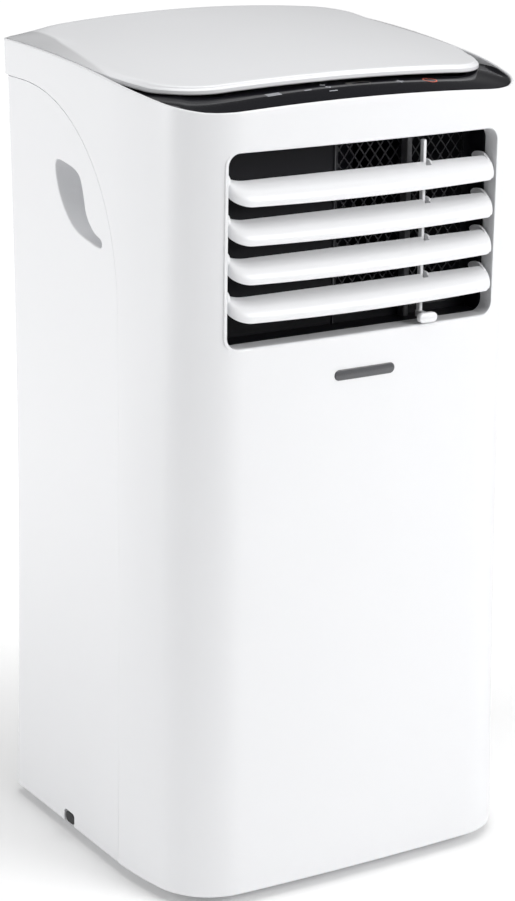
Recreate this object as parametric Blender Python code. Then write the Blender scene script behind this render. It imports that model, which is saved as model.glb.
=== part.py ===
"""Portable air conditioner on four casters, every separate piece a closed solid of its own.

Metres, +Z up. The unit stands on Z = 0 and its outlet faces -Y. Everything hangs from one
empty, which slides the body along Y so that its box is centred on the origin.
"""

import math

import bmesh
import bpy
from mathutils import Matrix, Vector

# ---- Body shell ----
BODY_SHIFT_Y = -0.018          # slides the assembly so that its box is centred on Y = 0
GROUND = 0.010                 # height of the shell's bottom edge above the floor
WALL = 0.0025                  # moulded wall thickness
FIT = 0.0004                   # gap between pieces that touch
WAIST_Z = 0.3837               # height above the bottom edge where the body is slimmest
FLARE_SPAN = 0.7637
WAIST_HALF_WIDTH, FLARE_HALF_WIDTH = 0.1722, 0.0128
WAIST_FRONT, FLARE_FRONT = -0.1490, -0.0174
WAIST_REAR, FLARE_REAR = 0.1521, 0.0201
FRONT_CORNER_R = 0.0554
REAR_CORNER_R = 0.012
FRONT_BOW = 0.0024             # the front face is this much further out at its middle
TOE_IN = 0.0062                # how much the sides close in from the seam to the front corner
TOE_START_Y = -0.0387
SHELL_LEVELS = 6

# ---- Top rim: level at the rear, falling ever faster towards the front ----
RIM_TOP_Z, RIM_FALL, RIM_FALL_Y = 0.6920, 0.30, 0.1426
RIM_CROWN, RIM_CROWN_HALF_WIDTH, RIM_CROWN_Y = 0.0060, 0.145, -0.102

# ---- Seam between the front panel and the rear shell, seen from the side ----
SEAM_Y, SEAM_Z = 0.120, 0.4915
SEAM_REACH_Y, SEAM_REACH_Z, SEAM_POWER = 0.1665, 0.170, 2.2
REAR_BAND_OUT = 0.003          # the front panel's band stands proud of the rear shell
REAR_SHELL_IN = 0.0015

# ---- Outlet opening and louvers ----
OPENING_HALF_WIDTH = 0.1275
OPENING_Z0, OPENING_Z1 = 0.480, 0.636
OPENING_R = 0.010
JAMB_BACK_Y = -0.130
PLENUM_BACK_Y = -0.109
LOUVER_COUNT, LOUVER_PITCH = 4, 0.031
LOUVER_PIVOT_Y, LOUVER_PIVOT_TOP_Z = -0.121, 0.610
LOUVER_HALF_LENGTH = 0.1262
LOUVER_BOW = 0.0024
LOUVER_STATIONS = 5
PIN_R, PIN_HOLE_R = 0.0020, 0.0026
LINK_X, LINK_WIDTH, LINK_DEPTH = 0.0645, 0.003, 0.005
LINK_CRANK = 0.0105            # the link's pegs sit this far in front of the louver pivots
PEG_R, PEG_HOLE_R = 0.0012, 0.0020

# ---- Lid and control panel ----
LID_REAR_Z, LID_SLOPE, LID_CURVE = 0.6999 + GROUND, 0.055, 0.1176
LID_REAR_Y, LID_FRONT_Y = 0.150, -0.116
LID_CROWN, LID_CROWN_HALF_WIDTH = 0.0095, 0.158
LID_CORNER_R, LID_TOE_IN, LID_BOW = 0.056, 0.011, 0.006
LID_THICK, LID_LIP = 0.0045, 0.0060
FLANK_WIDTH, FLANK_REAR_WIDTH = 0.0187, 0.010
FLANK_START_Y, FLANK_FULL_Y = -0.046, 0.094
PANEL_UNDER_Z, PANEL_DROP, PANEL_SIDE_DROP = 0.6600, 0.0012, 0.0045
PANEL_RISE, PANEL_RISE_HALF_WIDTH = (0.02, 0.13), 0.14
PANEL_BACK_Y, PANEL_MIDDLE_Z = -0.005, 0.666

# ---- Decks ----
PAN_Z, PAN_PLATE, PAN_WALL_TOP = 0.0125, 0.004, 0.050
DECK_Z, DECK_PLATE, DECK_WALL_TOP = 0.3560, 0.003, 0.3680
TRAY_WALL = 0.0022

# ---- Rear openings ----
REAR_WINDOW_HALF = 0.126
UPPER_WINDOW = (0.392, 0.640)
LOWER_WINDOW = (0.085, 0.215)
SPIGOT_Z, SPIGOT_R, SPIGOT_BORE_R = 0.290, 0.0635, 0.0600
SPIGOT_END_Y = 0.1894
DRAIN_X, DRAIN_R = -0.100, 0.0080
DRAIN_UPPER_Z, DRAIN_LOWER_Z = 0.376, 0.030
GLAND_X, GLAND_Z, GLAND_R = 0.110, 0.070, 0.0075

# ---- Casters ----
CASTER_X, CASTER_YS = 0.125, (-0.098, 0.115)
CASTER_WHEEL_R, CASTER_WHEEL_W, CASTER_TRAIL = 0.0165, 0.013, 0.010
WELL_R, WELL_WALL, WELL_TOP = 0.0290, 0.0022, 0.0455
STEM_R, STEM_TOP = 0.004, 0.053

# ---- Air movers ----
UPPER_FAN = {"x": -0.020, "z": 0.500, "y0": 0.004, "y1": 0.092, "wheel_r": 0.078,
             "r0": 0.086, "r1": 0.112, "top": 0.634, "eye_r": 0.060}
LOWER_FAN = {"x": 0.045, "z": 0.130, "y0": 0.020, "y1": 0.088, "wheel_r": 0.062,
             "r0": 0.070, "r1": 0.088, "top": 0.2216, "eye_r": 0.050}
SHAFT_R, SHAFT_BORE_R = 0.0040, 0.0044
SCROLL_TONGUE = math.radians(60)
WHEEL_BLADES = 14

HANDLE_OUTLINE = [(0.058, 0.602), (0.042, 0.603), (0.020, 0.598), (0.012, 0.586), (0.006, 0.566),
                  (-0.006, 0.554), (-0.019, 0.549), (-0.018, 0.543), (0.002, 0.545), (0.026, 0.551),
                  (0.044, 0.564), (0.056, 0.583)]
HANDLE_DEPTH = 0.026

COLOURS = {
    "white_shell": ((0.83, 0.84, 0.86), 0.28, 0.0),
    "white_louver": ((0.82, 0.83, 0.85), 0.35, 0.0),
    "black_gloss": ((0.010, 0.010, 0.012), 0.08, 0.0),
    "black_matt": ((0.018, 0.018, 0.020), 0.45, 0.0),
    "badge_grey": ((0.22, 0.23, 0.25), 0.35, 0.0),
    "mesh_grey": ((0.10, 0.10, 0.11), 0.70, 0.0),
    "rubber": ((0.03, 0.03, 0.03), 0.80, 0.0),
    "galvanised": ((0.62, 0.64, 0.66), 0.42, 1.0),
    "aluminium": ((0.78, 0.79, 0.80), 0.35, 1.0),
    "copper": ((0.72, 0.36, 0.20), 0.30, 1.0),
    "steel": ((0.56, 0.57, 0.58), 0.30, 1.0),
    "painted_black": ((0.02, 0.02, 0.022), 0.38, 0.0),
    "board_green": ((0.03, 0.17, 0.07), 0.50, 0.0),
    "caster_grey": ((0.12, 0.12, 0.13), 0.45, 0.0),
}


# ---- Scene helpers ----

def clear_scene():
    """Remove every object of the open scene."""
    for obj in list(bpy.data.objects):
        bpy.data.objects.remove(obj, do_unlink=True)


def material(name):
    """The Principled BSDF material of that name, made once."""
    if name in bpy.data.materials:
        return bpy.data.materials[name]
    colour, roughness, metallic = COLOURS[name]
    made = bpy.data.materials.new(name)
    made.use_nodes = True
    shader = made.node_tree.nodes["Principled BSDF"]
    shader.inputs["Base Color"].default_value = (*colour, 1.0)
    shader.inputs["Roughness"].default_value = roughness
    shader.inputs["Metallic"].default_value = metallic
    return made


def make_empty(name, location, parent=None):
    """An empty that carries pieces: the whole assembly, or one joint's axis."""
    empty = bpy.data.objects.new(name, None)
    empty.empty_display_size = 0.02
    empty.location = location
    empty.parent = parent
    bpy.context.collection.objects.link(empty)
    return empty


def make_object(name, bm, parent, finish):
    """Turn a bmesh into a piece with its own material, its faces pointing out."""
    bmesh.ops.recalc_face_normals(bm, faces=bm.faces)
    mesh = bpy.data.meshes.new(name)
    bm.to_mesh(mesh)
    bm.free()
    mesh.shade_smooth()
    mesh.set_sharp_from_angle(angle=math.radians(35))
    mesh.materials.append(material(finish))
    obj = bpy.data.objects.new(name, mesh)
    obj.parent = parent
    bpy.context.collection.objects.link(obj)
    return obj


def make_helper(name, bm, parent):
    """A solid that only cuts or joins: it is drawn as wire and never rendered."""
    helper = make_object(name, bm, parent, "steel")
    helper.hide_render = True
    helper.display_type = "WIRE"
    return helper


def combine(obj, helper, operation):
    """Add one exact Boolean to a piece."""
    modifier = obj.modifiers.new(f"{operation.lower()}_{helper.name}", "BOOLEAN")
    modifier.operation = operation
    modifier.solver = "EXACT"
    modifier.object = helper


def cut(obj, bm, label):
    """Cut a shape out of a piece."""
    combine(obj, make_helper(f"{obj.name}_{label}_cutter", bm, obj.parent), "DIFFERENCE")


def fuse(obj, bm, label):
    """Join a shape to a piece."""
    combine(obj, make_helper(f"{obj.name}_{label}_block", bm, obj.parent), "UNION")


# ---- Shape helpers ----

def loft(rings, wrap=False):
    """Skin rings of equal length; the ends are capped, or with wrap the last meets the first."""
    bm = bmesh.new()
    loops = [[bm.verts.new(point) for point in ring] for ring in rings]
    count = len(loops[0])
    pairs = list(zip(loops, loops[1:]))
    if wrap:
        pairs.append((loops[-1], loops[0]))
    for below, above in pairs:
        for i in range(count):
            j = (i + 1) % count
            bm.faces.new((below[i], below[j], above[j], above[i]))
    if not wrap:
        bm.faces.new(loops[0])
        bm.faces.new(loops[-1])
    return bm


def place(axis, pair, depth):
    """The point whose two in-plane coordinates are pair and whose third, along axis, is depth."""
    first, second = pair
    return {"X": (depth, first, second), "Y": (first, depth, second), "Z": (first, second, depth)}[axis]


def prism(points, axis, low, high):
    """A polygon extruded along one axis."""
    return loft([[place(axis, pair, low) for pair in points], [place(axis, pair, high) for pair in points]])


def circle(centre, radius, sides):
    """A regular polygon round a centre."""
    turns = [2 * math.pi * i / sides for i in range(sides)]
    return [(centre[0] + radius * math.cos(a), centre[1] + radius * math.sin(a)) for a in turns]


def rod(axis, centre, radius, low, high, sides=20):
    """A solid round bar."""
    return prism(circle(centre, radius, sides), axis, low, high)


def rectangle(x0, x1, z0, z1):
    """The four corners of a rectangle."""
    return [(x0, z0), (x1, z0), (x1, z1), (x0, z1)]


def rounded_rectangle(x0, x1, z0, z1, radius, steps=3):
    """A rectangle with round corners."""
    points = []
    corners = ((x1 - radius, z0 + radius, -90), (x1 - radius, z1 - radius, 0),
               (x0 + radius, z1 - radius, 90), (x0 + radius, z0 + radius, 180))
    for cx, cz, start in corners:
        for i in range(steps + 1):
            angle = math.radians(start + 90 * i / steps)
            points.append((cx + radius * math.cos(angle), cz + radius * math.sin(angle)))
    return points


def box(x0, x1, y0, y1, z0, z1):
    """A plain block."""
    return prism(rectangle(x0, x1, y0, y1), "Z", z0, z1)


def offset_outline(points, distance):
    """Move each corner of a counter-clockwise or clockwise outline outwards by a distance."""
    area = sum(a[0] * b[1] - b[0] * a[1] for a, b in zip(points, points[1:] + points[:1]))
    side = 1 if area > 0 else -1
    moved = []
    for before, here, after in zip(points[-1:] + points[:-1], points, points[1:] + points[:1]):
        along_in = (Vector(here) - Vector(before)).normalized()
        along_out = (Vector(after) - Vector(here)).normalized()
        normal = Vector((along_in.y + along_out.y, -along_in.x - along_out.x)) * side
        reach = distance / max(0.5, normal.length / 2)
        moved.append(tuple(Vector(here) + normal.normalized() * reach))
    return moved


def open_box(outline, axis, mouth, floor, wall):
    """A cup: the outline is its inside, open at mouth and closed by a wall beyond floor."""
    outer = offset_outline(outline, wall)
    beyond = floor + math.copysign(wall, floor - mouth)
    rings = [(outer, beyond), (outer, mouth), (outline, mouth), (outline, floor)]
    return loft([[place(axis, pair, depth) for pair in ring] for ring, depth in rings])


def sleeve(outer, inner, axis, low, high):
    """A straight tube between two outlines with the same number of corners."""
    rings = [(outer, low), (outer, high), (inner, high), (inner, low)]
    return loft([[place(axis, pair, depth) for pair in ring] for ring, depth in rings], wrap=True)


def turned(profile, steps=24):
    """Spin a closed (radius, height) profile about the Z axis."""
    bm = bmesh.new()
    verts = [bm.verts.new((radius, 0, height)) for radius, height in profile]
    edges = [bm.edges.new(pair) for pair in zip(verts, verts[1:])]
    on_axis = profile[0][0] == 0 and profile[-1][0] == 0
    if not on_axis:
        edges.append(bm.edges.new((verts[-1], verts[0])))
    bmesh.ops.spin(bm, geom=verts + edges, cent=(0, 0, 0), axis=(0, 0, 1), angle=math.tau,
                   steps=steps, use_merge=True)
    bmesh.ops.remove_doubles(bm, verts=bm.verts, dist=1e-6)
    return bm


def turn_to_y(bm, x, y, z):
    """Lay a turned shape's Z axis along +Y and put its origin at a point."""
    bmesh.ops.transform(bm, matrix=Matrix.Translation((x, y, z)) @ Matrix.Rotation(math.radians(-90), 4, "X"),
                        verts=bm.verts)
    return bm


def pierced_plate(xs, zs, is_hole, y0, y1):
    """A plate on a rectangular grid, with some of its cells left out."""
    bm = bmesh.new()
    grid = [[bm.verts.new((x, y0, z)) for z in zs] for x in xs]
    for i in range(len(xs) - 1):
        for j in range(len(zs) - 1):
            if not is_hole(i, j):
                bm.faces.new((grid[i][j], grid[i + 1][j], grid[i + 1][j + 1], grid[i][j + 1]))
    bmesh.ops.delete(bm, geom=[v for v in bm.verts if not v.link_faces], context="VERTS")
    front = list(bm.faces)
    bmesh.ops.solidify(bm, geom=front, thickness=y1 - y0)
    low = min(v.co.y for v in bm.verts)
    bmesh.ops.translate(bm, vec=(0, y0 - low, 0), verts=bm.verts)
    return bm


def pipe(name, points, radius, parent, finish):
    """A round pipe along a smooth curve through the points."""
    route = [Vector(p) for p in points]
    route = [2 * route[0] - route[1]] + route + [2 * route[-1] - route[-2]]
    fine = []
    for p0, p1, p2, p3 in zip(route, route[1:], route[2:], route[3:]):
        for i in range(3):
            t = i / 3
            fine.append(0.5 * (2 * p1 + (p2 - p0) * t + (2 * p0 - 5 * p1 + 4 * p2 - p3) * t * t
                               + (3 * p1 - p0 - 3 * p2 + p3) * t ** 3))
    fine.append(route[-2])
    curve = bpy.data.curves.new(name, "CURVE")
    curve.dimensions = "3D"
    curve.bevel_depth = radius
    curve.bevel_resolution = 2
    curve.use_fill_caps = True
    spline = curve.splines.new("POLY")
    spline.points.add(len(fine) - 1)
    for target, point in zip(spline.points, fine):
        target.co = (*point, 1)
    curve.materials.append(material(finish))
    obj = bpy.data.objects.new(name, curve)
    obj.parent = parent
    bpy.context.collection.objects.link(obj)
    return obj


# ---- The body's own geometry ----

def body_section(z):
    """Half width, front and rear of the body at a height above the floor."""
    t = (z - GROUND - WAIST_Z) / FLARE_SPAN
    return (WAIST_HALF_WIDTH + FLARE_HALF_WIDTH * t * t,
            WAIST_FRONT + FLARE_FRONT * t * t,
            WAIST_REAR + FLARE_REAR * t * t)


def mirrored(half):
    """Complete a half outline, which runs from the front middle to the rear middle at +X."""
    return half + [(-x, y) for x, y in reversed(half[1:-1])]


def body_outline(z, inset=0.0, rear_out=0.0):
    """The body's outline at a height, moved inwards by inset."""
    half_width, front, rear = body_section(z)
    half_width -= inset
    front += inset
    rear += rear_out - inset
    corner = FRONT_CORNER_R - inset
    flat = half_width - TOE_IN - corner
    half = [(flat * k / 3, front + FRONT_BOW * (k / 3) ** 2) for k in range(4)]
    centre_y = front + FRONT_BOW + corner
    for k in range(1, 7):
        angle = math.radians(-90 + 90 * k / 6)
        half.append((flat + corner * math.cos(angle), centre_y + corner * math.sin(angle)))
    half.append((half_width, TOE_START_Y))
    small = REAR_CORNER_R - inset
    for k in range(4):
        angle = math.radians(90 * k / 3)
        half.append((half_width - small + small * math.cos(angle), rear - small + small * math.sin(angle)))
    half.append((0.0, rear))
    return mirrored(half)


def rim_height(x, y):
    """Height of the shell's top rim above the floor."""
    ahead = max(0.0, RIM_FALL_Y - y)
    forward = min(1.0, max(0.0, (RIM_CROWN_Y - y) / 0.03))
    crown = RIM_CROWN * forward * max(0.0, 1 - (x / RIM_CROWN_HALF_WIDTH) ** 2)
    return RIM_TOP_Z - RIM_FALL * ahead * ahead + crown


def body_ring(share, inset, rear_out):
    """The outline at a share of the height from the bottom edge to the rim."""
    ring = []
    top = body_outline(RIM_TOP_Z, inset, rear_out)
    levels = [GROUND + share * (rim_height(x, y) - GROUND) for x, y in top]
    for i, z in enumerate(levels):
        x, y = body_outline(z, inset, rear_out)[i]
        ring.append((x, y, z))
    return ring


def shell_wall(outer, rear_out):
    """The body's tubular wall from the bottom edge to the rim."""
    shares = [k / SHELL_LEVELS for k in range(SHELL_LEVELS + 1)]
    rings = [body_ring(share, outer, rear_out) for share in shares]
    rings += [body_ring(share, outer + WALL, rear_out) for share in reversed(shares)]
    return loft(rings, wrap=True)


def seam_line(gap):
    """The seam as (y, z), from the bottom edge up and round to the rear, moved back by gap."""
    line = [(SEAM_Y - SEAM_REACH_Y + gap, -0.05)]
    for k in range(13):
        angle = math.radians(180 - 7.5 * k)
        across = abs(math.cos(angle)) ** (2 / SEAM_POWER)
        up = abs(math.sin(angle)) ** (2 / SEAM_POWER)
        line.append((SEAM_Y - (SEAM_REACH_Y - gap) * across, SEAM_Z + (SEAM_REACH_Z - gap) * up))
    line.append((0.25, SEAM_Z + SEAM_REACH_Z - gap))
    return line


def rear_face(z):
    """Y of the rear shell's outer face at a height."""
    return body_section(z)[2] - REAR_SHELL_IN


# ---- Shell, lid and panel ----

def make_front_panel(unit):
    """Front panel: face, wrapped sides, top band and the jamb round the outlet."""
    panel = make_object("front_panel", shell_wall(0.0, REAR_BAND_OUT), unit, "white_shell")
    frame = OPENING_HALF_WIDTH + WALL
    jamb = make_helper("front_panel_jamb_block", prism(
        rounded_rectangle(-frame, frame, OPENING_Z0 - WALL, OPENING_Z1 + WALL, OPENING_R + WALL),
        "Y", -0.17, JAMB_BACK_Y), unit)
    core = [[(x, y, z) for x, y in body_outline(z, 0.0008)] for z in (0.44, 0.49, 0.54, 0.59, 0.66)]
    combine(jamb, make_helper("front_panel_core_block", loft(core), unit), "INTERSECT")
    combine(panel, jamb, "UNION")
    cut(panel, prism(rounded_rectangle(-OPENING_HALF_WIDTH, OPENING_HALF_WIDTH, OPENING_Z0, OPENING_Z1,
                                       OPENING_R), "Y", -0.2, -0.12), "outlet")
    cut(panel, prism(seam_line(0.0) + [(0.25, -0.05)], "X", -0.25, 0.25), "seam")
    return panel


def make_rear_shell(unit):
    """Rear shell: back and rear sides, with its windows, ports and handle mouths."""
    shell = make_object("rear_shell", shell_wall(0.0, -REAR_SHELL_IN), unit, "white_shell")
    cut(shell, prism(seam_line(FIT) + [(0.25, 0.8), (-0.25, 0.8), (-0.25, -0.05)], "X", -0.25, 0.25), "seam")
    for label, (z0, z1) in (("upper", UPPER_WINDOW), ("lower", LOWER_WINDOW)):
        cut(shell, box(-REAR_WINDOW_HALF, REAR_WINDOW_HALF, 0.13, 0.2, z0, z1), f"{label}_window")
    cut(shell, rod("Y", (0.0, SPIGOT_Z), SPIGOT_R + 0.0007, 0.13, 0.2, 28), "exhaust")
    for label, z in (("upper", DRAIN_UPPER_Z), ("lower", DRAIN_LOWER_Z)):
        cut(shell, rod("Y", (DRAIN_X, z), DRAIN_R + FIT, 0.13, 0.2, 16), f"{label}_drain")
    cut(shell, rod("Y", (GLAND_X, GLAND_Z), GLAND_R + FIT, 0.13, 0.2, 16), "gland")
    cut(shell, prism(HANDLE_OUTLINE, "X", -0.25, 0.25), "handles")
    cut(shell, box(-0.25, 0.25, 0.035, 0.054, -0.02, GROUND + 0.012), "foot_notch")
    return shell


def make_handle_cups(unit):
    """The two hand recesses, moulded cups behind the rear shell's side walls."""
    mouth = body_section(0.575)[0] - WALL - FIT
    for name, side in (("handle_cup_left", -1), ("handle_cup_right", 1)):
        cup = open_box(HANDLE_OUTLINE, "X", side * mouth, side * (mouth - HANDLE_DEPTH), WALL)
        make_object(name, cup, unit, "white_shell")


def lid_surface(x, y):
    """Height of the lid's crowned top above the floor."""
    back = LID_REAR_Y - y
    centre = LID_REAR_Z - LID_SLOPE * back - LID_CURVE * back * abs(back)
    return centre - LID_CROWN * (x / LID_CROWN_HALF_WIDTH) ** 2


def lid_outline(inset):
    """The lid's outline: inside the rim at the sides and rear, round-cornered at the front."""
    half_width, _, rear = body_section(RIM_TOP_Z)
    half_width -= WALL + FIT + inset
    rear += REAR_BAND_OUT - WALL - FIT - inset
    front = LID_FRONT_Y + inset
    corner = max(0.004, LID_CORNER_R - inset)
    flat = half_width - LID_TOE_IN - corner
    half = [(flat * k / 3, front + LID_BOW * (k / 3) ** 2) for k in range(4)]
    for k in range(1, 6):
        angle = math.radians(-90 + 82 * k / 5)
        half.append((flat + corner * math.cos(angle), front + LID_BOW + corner * (1 + math.sin(angle))))
    for back, inward in ((-0.042, 0.0053), (-0.021, 0.0013), (0.0, 0.0), (0.05, 0.0), (FLANK_FULL_Y, 0.0)):
        half.append((half_width - inward, back))
    small = max(0.002, REAR_CORNER_R - WALL - inset)
    for k in range(3):
        angle = math.radians(90 * k / 2)
        half.append((half_width - small + small * math.cos(angle), rear - small + small * math.sin(angle)))
    half.append((0.0, rear))
    return mirrored(half)


def lid_afloat(y):
    """0 where the lid's edge lies on the rim, 1 where it floats over the touch panel."""
    return min(1.0, max(0.0, (-0.052 - y) / 0.040))


def lid_edge(x, y, on_rim, afloat):
    """A height at the lid's edge, over the rim at the sides and under the crown at the front."""
    share = lid_afloat(y)
    return (1 - share) * (rim_height(x, y) + on_rim) + share * (lid_surface(x, y) - afloat)


def lid_ring(on_rim, afloat, inset=0.0):
    """A ring of the lid's edge."""
    return [(x, y, lid_edge(x, y, on_rim, afloat)) for x, y in lid_outline(inset)]


def flank_ring():
    """The crease where the crowned top turns down into the flank."""
    ring = []
    for i, (x, y) in enumerate(lid_outline(0.0)):
        climb = min(1.0, max(0.0, (y - FLANK_START_Y) / (FLANK_FULL_Y - FLANK_START_Y)))
        width = FLANK_REAR_WIDTH if y > FLANK_FULL_Y + 0.001 else FLANK_WIDTH * climb
        x, y = lid_outline(max(width, 0.004))[i]
        ring.append((x, y, lid_surface(x, y)))
    return ring


def make_lid(unit):
    """Crowned lid whose flanks fall to the rim."""
    rings = [[(x, y, lid_surface(x, y) - LID_THICK) for x, y in lid_outline(d)] for d in (0.09, 0.021)]
    rings += [lid_ring(-0.0040, LID_LIP), lid_ring(0.0008, 0.0016), flank_ring()]
    rings += [[(x, y, lid_surface(x, y)) for x, y in lid_outline(d)] for d in (0.028, 0.050, 0.090)]
    make_object("top_lid", loft(rings), unit, "white_shell")


def panel_level(x, y, depth):
    """Height of the touch panel at a distance inside its outer edge."""
    middle = max(0.0, 1 - (x / PANEL_RISE_HALF_WIDTH) ** 2)
    level = rim_height(x, y) - PANEL_DROP - PANEL_SIDE_DROP * (1 - lid_afloat(y))
    level += depth * (PANEL_RISE[0] + PANEL_RISE[1] * middle)
    return min(level, lid_edge(x, y, -0.0040, LID_LIP) - 0.0010) if depth > 0 else level


def make_control_panel(unit):
    """Glossy panel that climbs from the rim to the lid's front edge, and the board under it."""
    outer = body_outline(GROUND + 0.66, WALL + FIT)
    half = len(outer) // 2
    right = [i for i in range(half) if outer[i][1] < PANEL_BACK_Y]
    left = [i for i in range(half + 1, len(outer)) if outer[i][1] < PANEL_BACK_Y]

    def ring(depth, height):
        """The panel's outline at a depth, closed straight across at the back."""
        outline = body_outline(GROUND + 0.66, WALL + FIT + depth)
        back = PANEL_BACK_Y - depth * 0.4
        points = [outline[i] for i in right] + [(outline[right[-1]][0], back), (outline[left[0]][0], back)]
        points += [outline[i] for i in left]
        return [(x, y, height(x, y)) for x, y in points]

    rings = [ring(0.0, lambda x, y: PANEL_UNDER_Z)]
    for depth in (0.0, 0.012, 0.024, 0.034):
        rings.append(ring(depth, lambda x, y, d=depth: panel_level(x, y, d)))
    rings.append(ring(0.048, lambda x, y: PANEL_MIDDLE_Z))
    make_object("control_panel", loft(rings), unit, "black_gloss")
    make_object("display_board", box(-0.075, 0.110, -0.130, -0.085, 0.6510, 0.6526), unit, "board_green")


def make_badge(unit):
    """Plain oblong badge on the front face."""
    z = 0.4475
    front = body_section(z)[1]
    outline = rounded_rectangle(-0.029, 0.029, z - 0.0045, z + 0.0045, 0.0044, 4)
    make_object("name_badge", prism(outline, "Y", front - 0.0012, front - 0.0003), unit, "badge_grey")


# ---- Outlet ----

def make_plenum(unit):
    """Black air box behind the louvers, its guard and the neck that feeds it."""
    half = OPENING_HALF_WIDTH - 0.0015
    inner = rectangle(-half, half, OPENING_Z0, OPENING_Z1)
    plenum = make_object("outlet_plenum", open_box(inner, "Y", JAMB_BACK_Y + FIT, PLENUM_BACK_Y, WALL), unit,
                         "black_matt")
    cut(plenum, box(-0.006, 0.122, -0.12, -0.09, 0.486, 0.630), "guard_window")
    for k in range(LOUVER_COUNT):
        z = LOUVER_PIVOT_TOP_Z - k * LOUVER_PITCH
        cut(plenum, rod("X", (LOUVER_PIVOT_Y, z), PIN_HOLE_R, -0.14, 0.14, 8), f"pivot_{k + 1}")
    make_guard(unit)
    far = rectangle(0.0425, 0.0905, 0.498, 0.6295)
    near = rectangle(-0.0055, 0.1215, 0.486, 0.630)
    stations = [(near, PLENUM_BACK_Y + WALL + FIT), (far, -0.060), (far, UPPER_FAN["y0"] - FIT)]
    outer = [[(x, y, z) for x, z in offset_outline(ring, 0.0015)] for ring, y in stations]
    inner = [[(x, y, z) for x, z in offset_outline(ring, -0.0005)] for ring, y in reversed(stations)]
    make_object("outlet_neck", loft(outer + inner, wrap=True), unit, "black_matt")


def make_guard(unit):
    """Diamond lattice guard in the plenum's back wall, with a border all round."""
    x0, x1, z0, z1 = -0.0055, 0.1215, 0.4865, 0.6295
    bm = bmesh.new()
    cells, pitch = 9, 0.0290
    bmesh.ops.create_grid(bm, x_segments=cells, y_segments=cells, size=cells * pitch / 2)
    turn = Matrix.Rotation(math.radians(90), 4, "X") @ Matrix.Rotation(math.radians(45), 4, "Z")
    centre = ((x0 + x1) / 2, PLENUM_BACK_Y, (z0 + z1) / 2)
    bmesh.ops.transform(bm, matrix=Matrix.Translation(centre) @ turn, verts=bm.verts)
    for low, normal in (((x0, 0, 0), (-1, 0, 0)), ((x1, 0, 0), (1, 0, 0)),
                        ((0, 0, z0), (0, 0, -1)), ((0, 0, z1), (0, 0, 1))):
        geometry = bm.verts[:] + bm.edges[:] + bm.faces[:]
        bmesh.ops.bisect_plane(bm, geom=geometry, plane_co=low, plane_no=normal, clear_outer=True)
    large = [face for face in bm.faces if face.calc_area() >= 0.00006]
    bmesh.ops.inset_individual(bm, faces=large, thickness=0.0009, use_even_offset=True)
    bmesh.ops.delete(bm, geom=large, context="FACES")
    bmesh.ops.solidify(bm, geom=bm.faces[:], thickness=0.002)
    make_object("outlet_guard", bm, unit, "black_matt")


def louver_profile(bow):
    """Closed (y, z) section of a blade about its pivot; bow lets the nose out."""
    outer = [(-0.0140, 0.0020), (-0.0200, -0.0010), (-0.0255, -0.0050 - bow * 0.2),
             (-0.0285 - bow * 0.5, -0.0100 - bow * 0.4), (-0.0280 - bow * 0.6, -0.0155 - bow)]
    inner = [(-0.0257 - bow * 0.6, -0.0152 - bow), (-0.0262 - bow * 0.5, -0.0107 - bow * 0.4),
             (-0.0237, -0.0068 - bow * 0.2), (-0.0190, -0.0034), (-0.0138, -0.0008)]
    return outer + inner


def make_louver(number, unit):
    """One blade with its two arms, pivot pins, link lug and the notch that clears the link."""
    axis = make_empty(f"louver_{number}_axis",
                      (0, LOUVER_PIVOT_Y, LOUVER_PIVOT_TOP_Z - (number - 1) * LOUVER_PITCH), unit)
    rings = []
    for k in range(LOUVER_STATIONS):
        x = LOUVER_HALF_LENGTH * (2 * k / (LOUVER_STATIONS - 1) - 1)
        bow = LOUVER_BOW * (1 - (x / LOUVER_HALF_LENGTH) ** 2)
        rings.append([(x, y, z) for y, z in louver_profile(bow)])
    blade = make_object(f"louver_{number}", loft(rings), axis, "white_louver")
    left_arm = [(-0.0190, -0.0025), (-0.0130, -0.0065), (0.0000, -0.0055), (0.0045, -0.0010),
                (0.0040, 0.0045), (-0.0010, 0.0070), (-0.0130, 0.0060), (-0.0200, -0.0005)]
    right_arm = [(-0.0190, -0.0028), (-0.0130, -0.0030), (0.0000, -0.0028), (0.0030, 0.0000),
                 (0.0000, 0.0030), (-0.0140, 0.0026), (-0.0200, -0.0005)]
    fuse(blade, prism(left_arm, "X", -0.1248, -0.1222), "left_arm")
    fuse(blade, prism(right_arm, "X", 0.1222, 0.1248), "right_arm")
    fuse(blade, rod("X", (0, 0), PIN_R, -0.1276, -0.1235, 8), "left_pin")
    fuse(blade, rod("X", (0, 0), PIN_R, 0.1235, 0.1276, 8), "right_pin")
    lug_x = LINK_X + LINK_WIDTH / 2 + 0.0012
    cut(blade, box(LINK_X - 0.0025, lug_x, -0.0185, -0.0100, -0.02, 0.02), "link_notch")
    lug = [(-0.0165, -0.0042), (-0.0085, -0.0034), (-0.0072, 0.0000), (-0.0085, 0.0034), (-0.0160, 0.0022)]
    fuse(blade, prism(lug, "X", lug_x, lug_x + 0.0022), "lug")
    cut(blade, rod("X", (-LINK_CRANK, 0), PEG_HOLE_R, lug_x - 0.002, lug_x + 0.004, 10), "lug_hole")
    return axis


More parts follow.
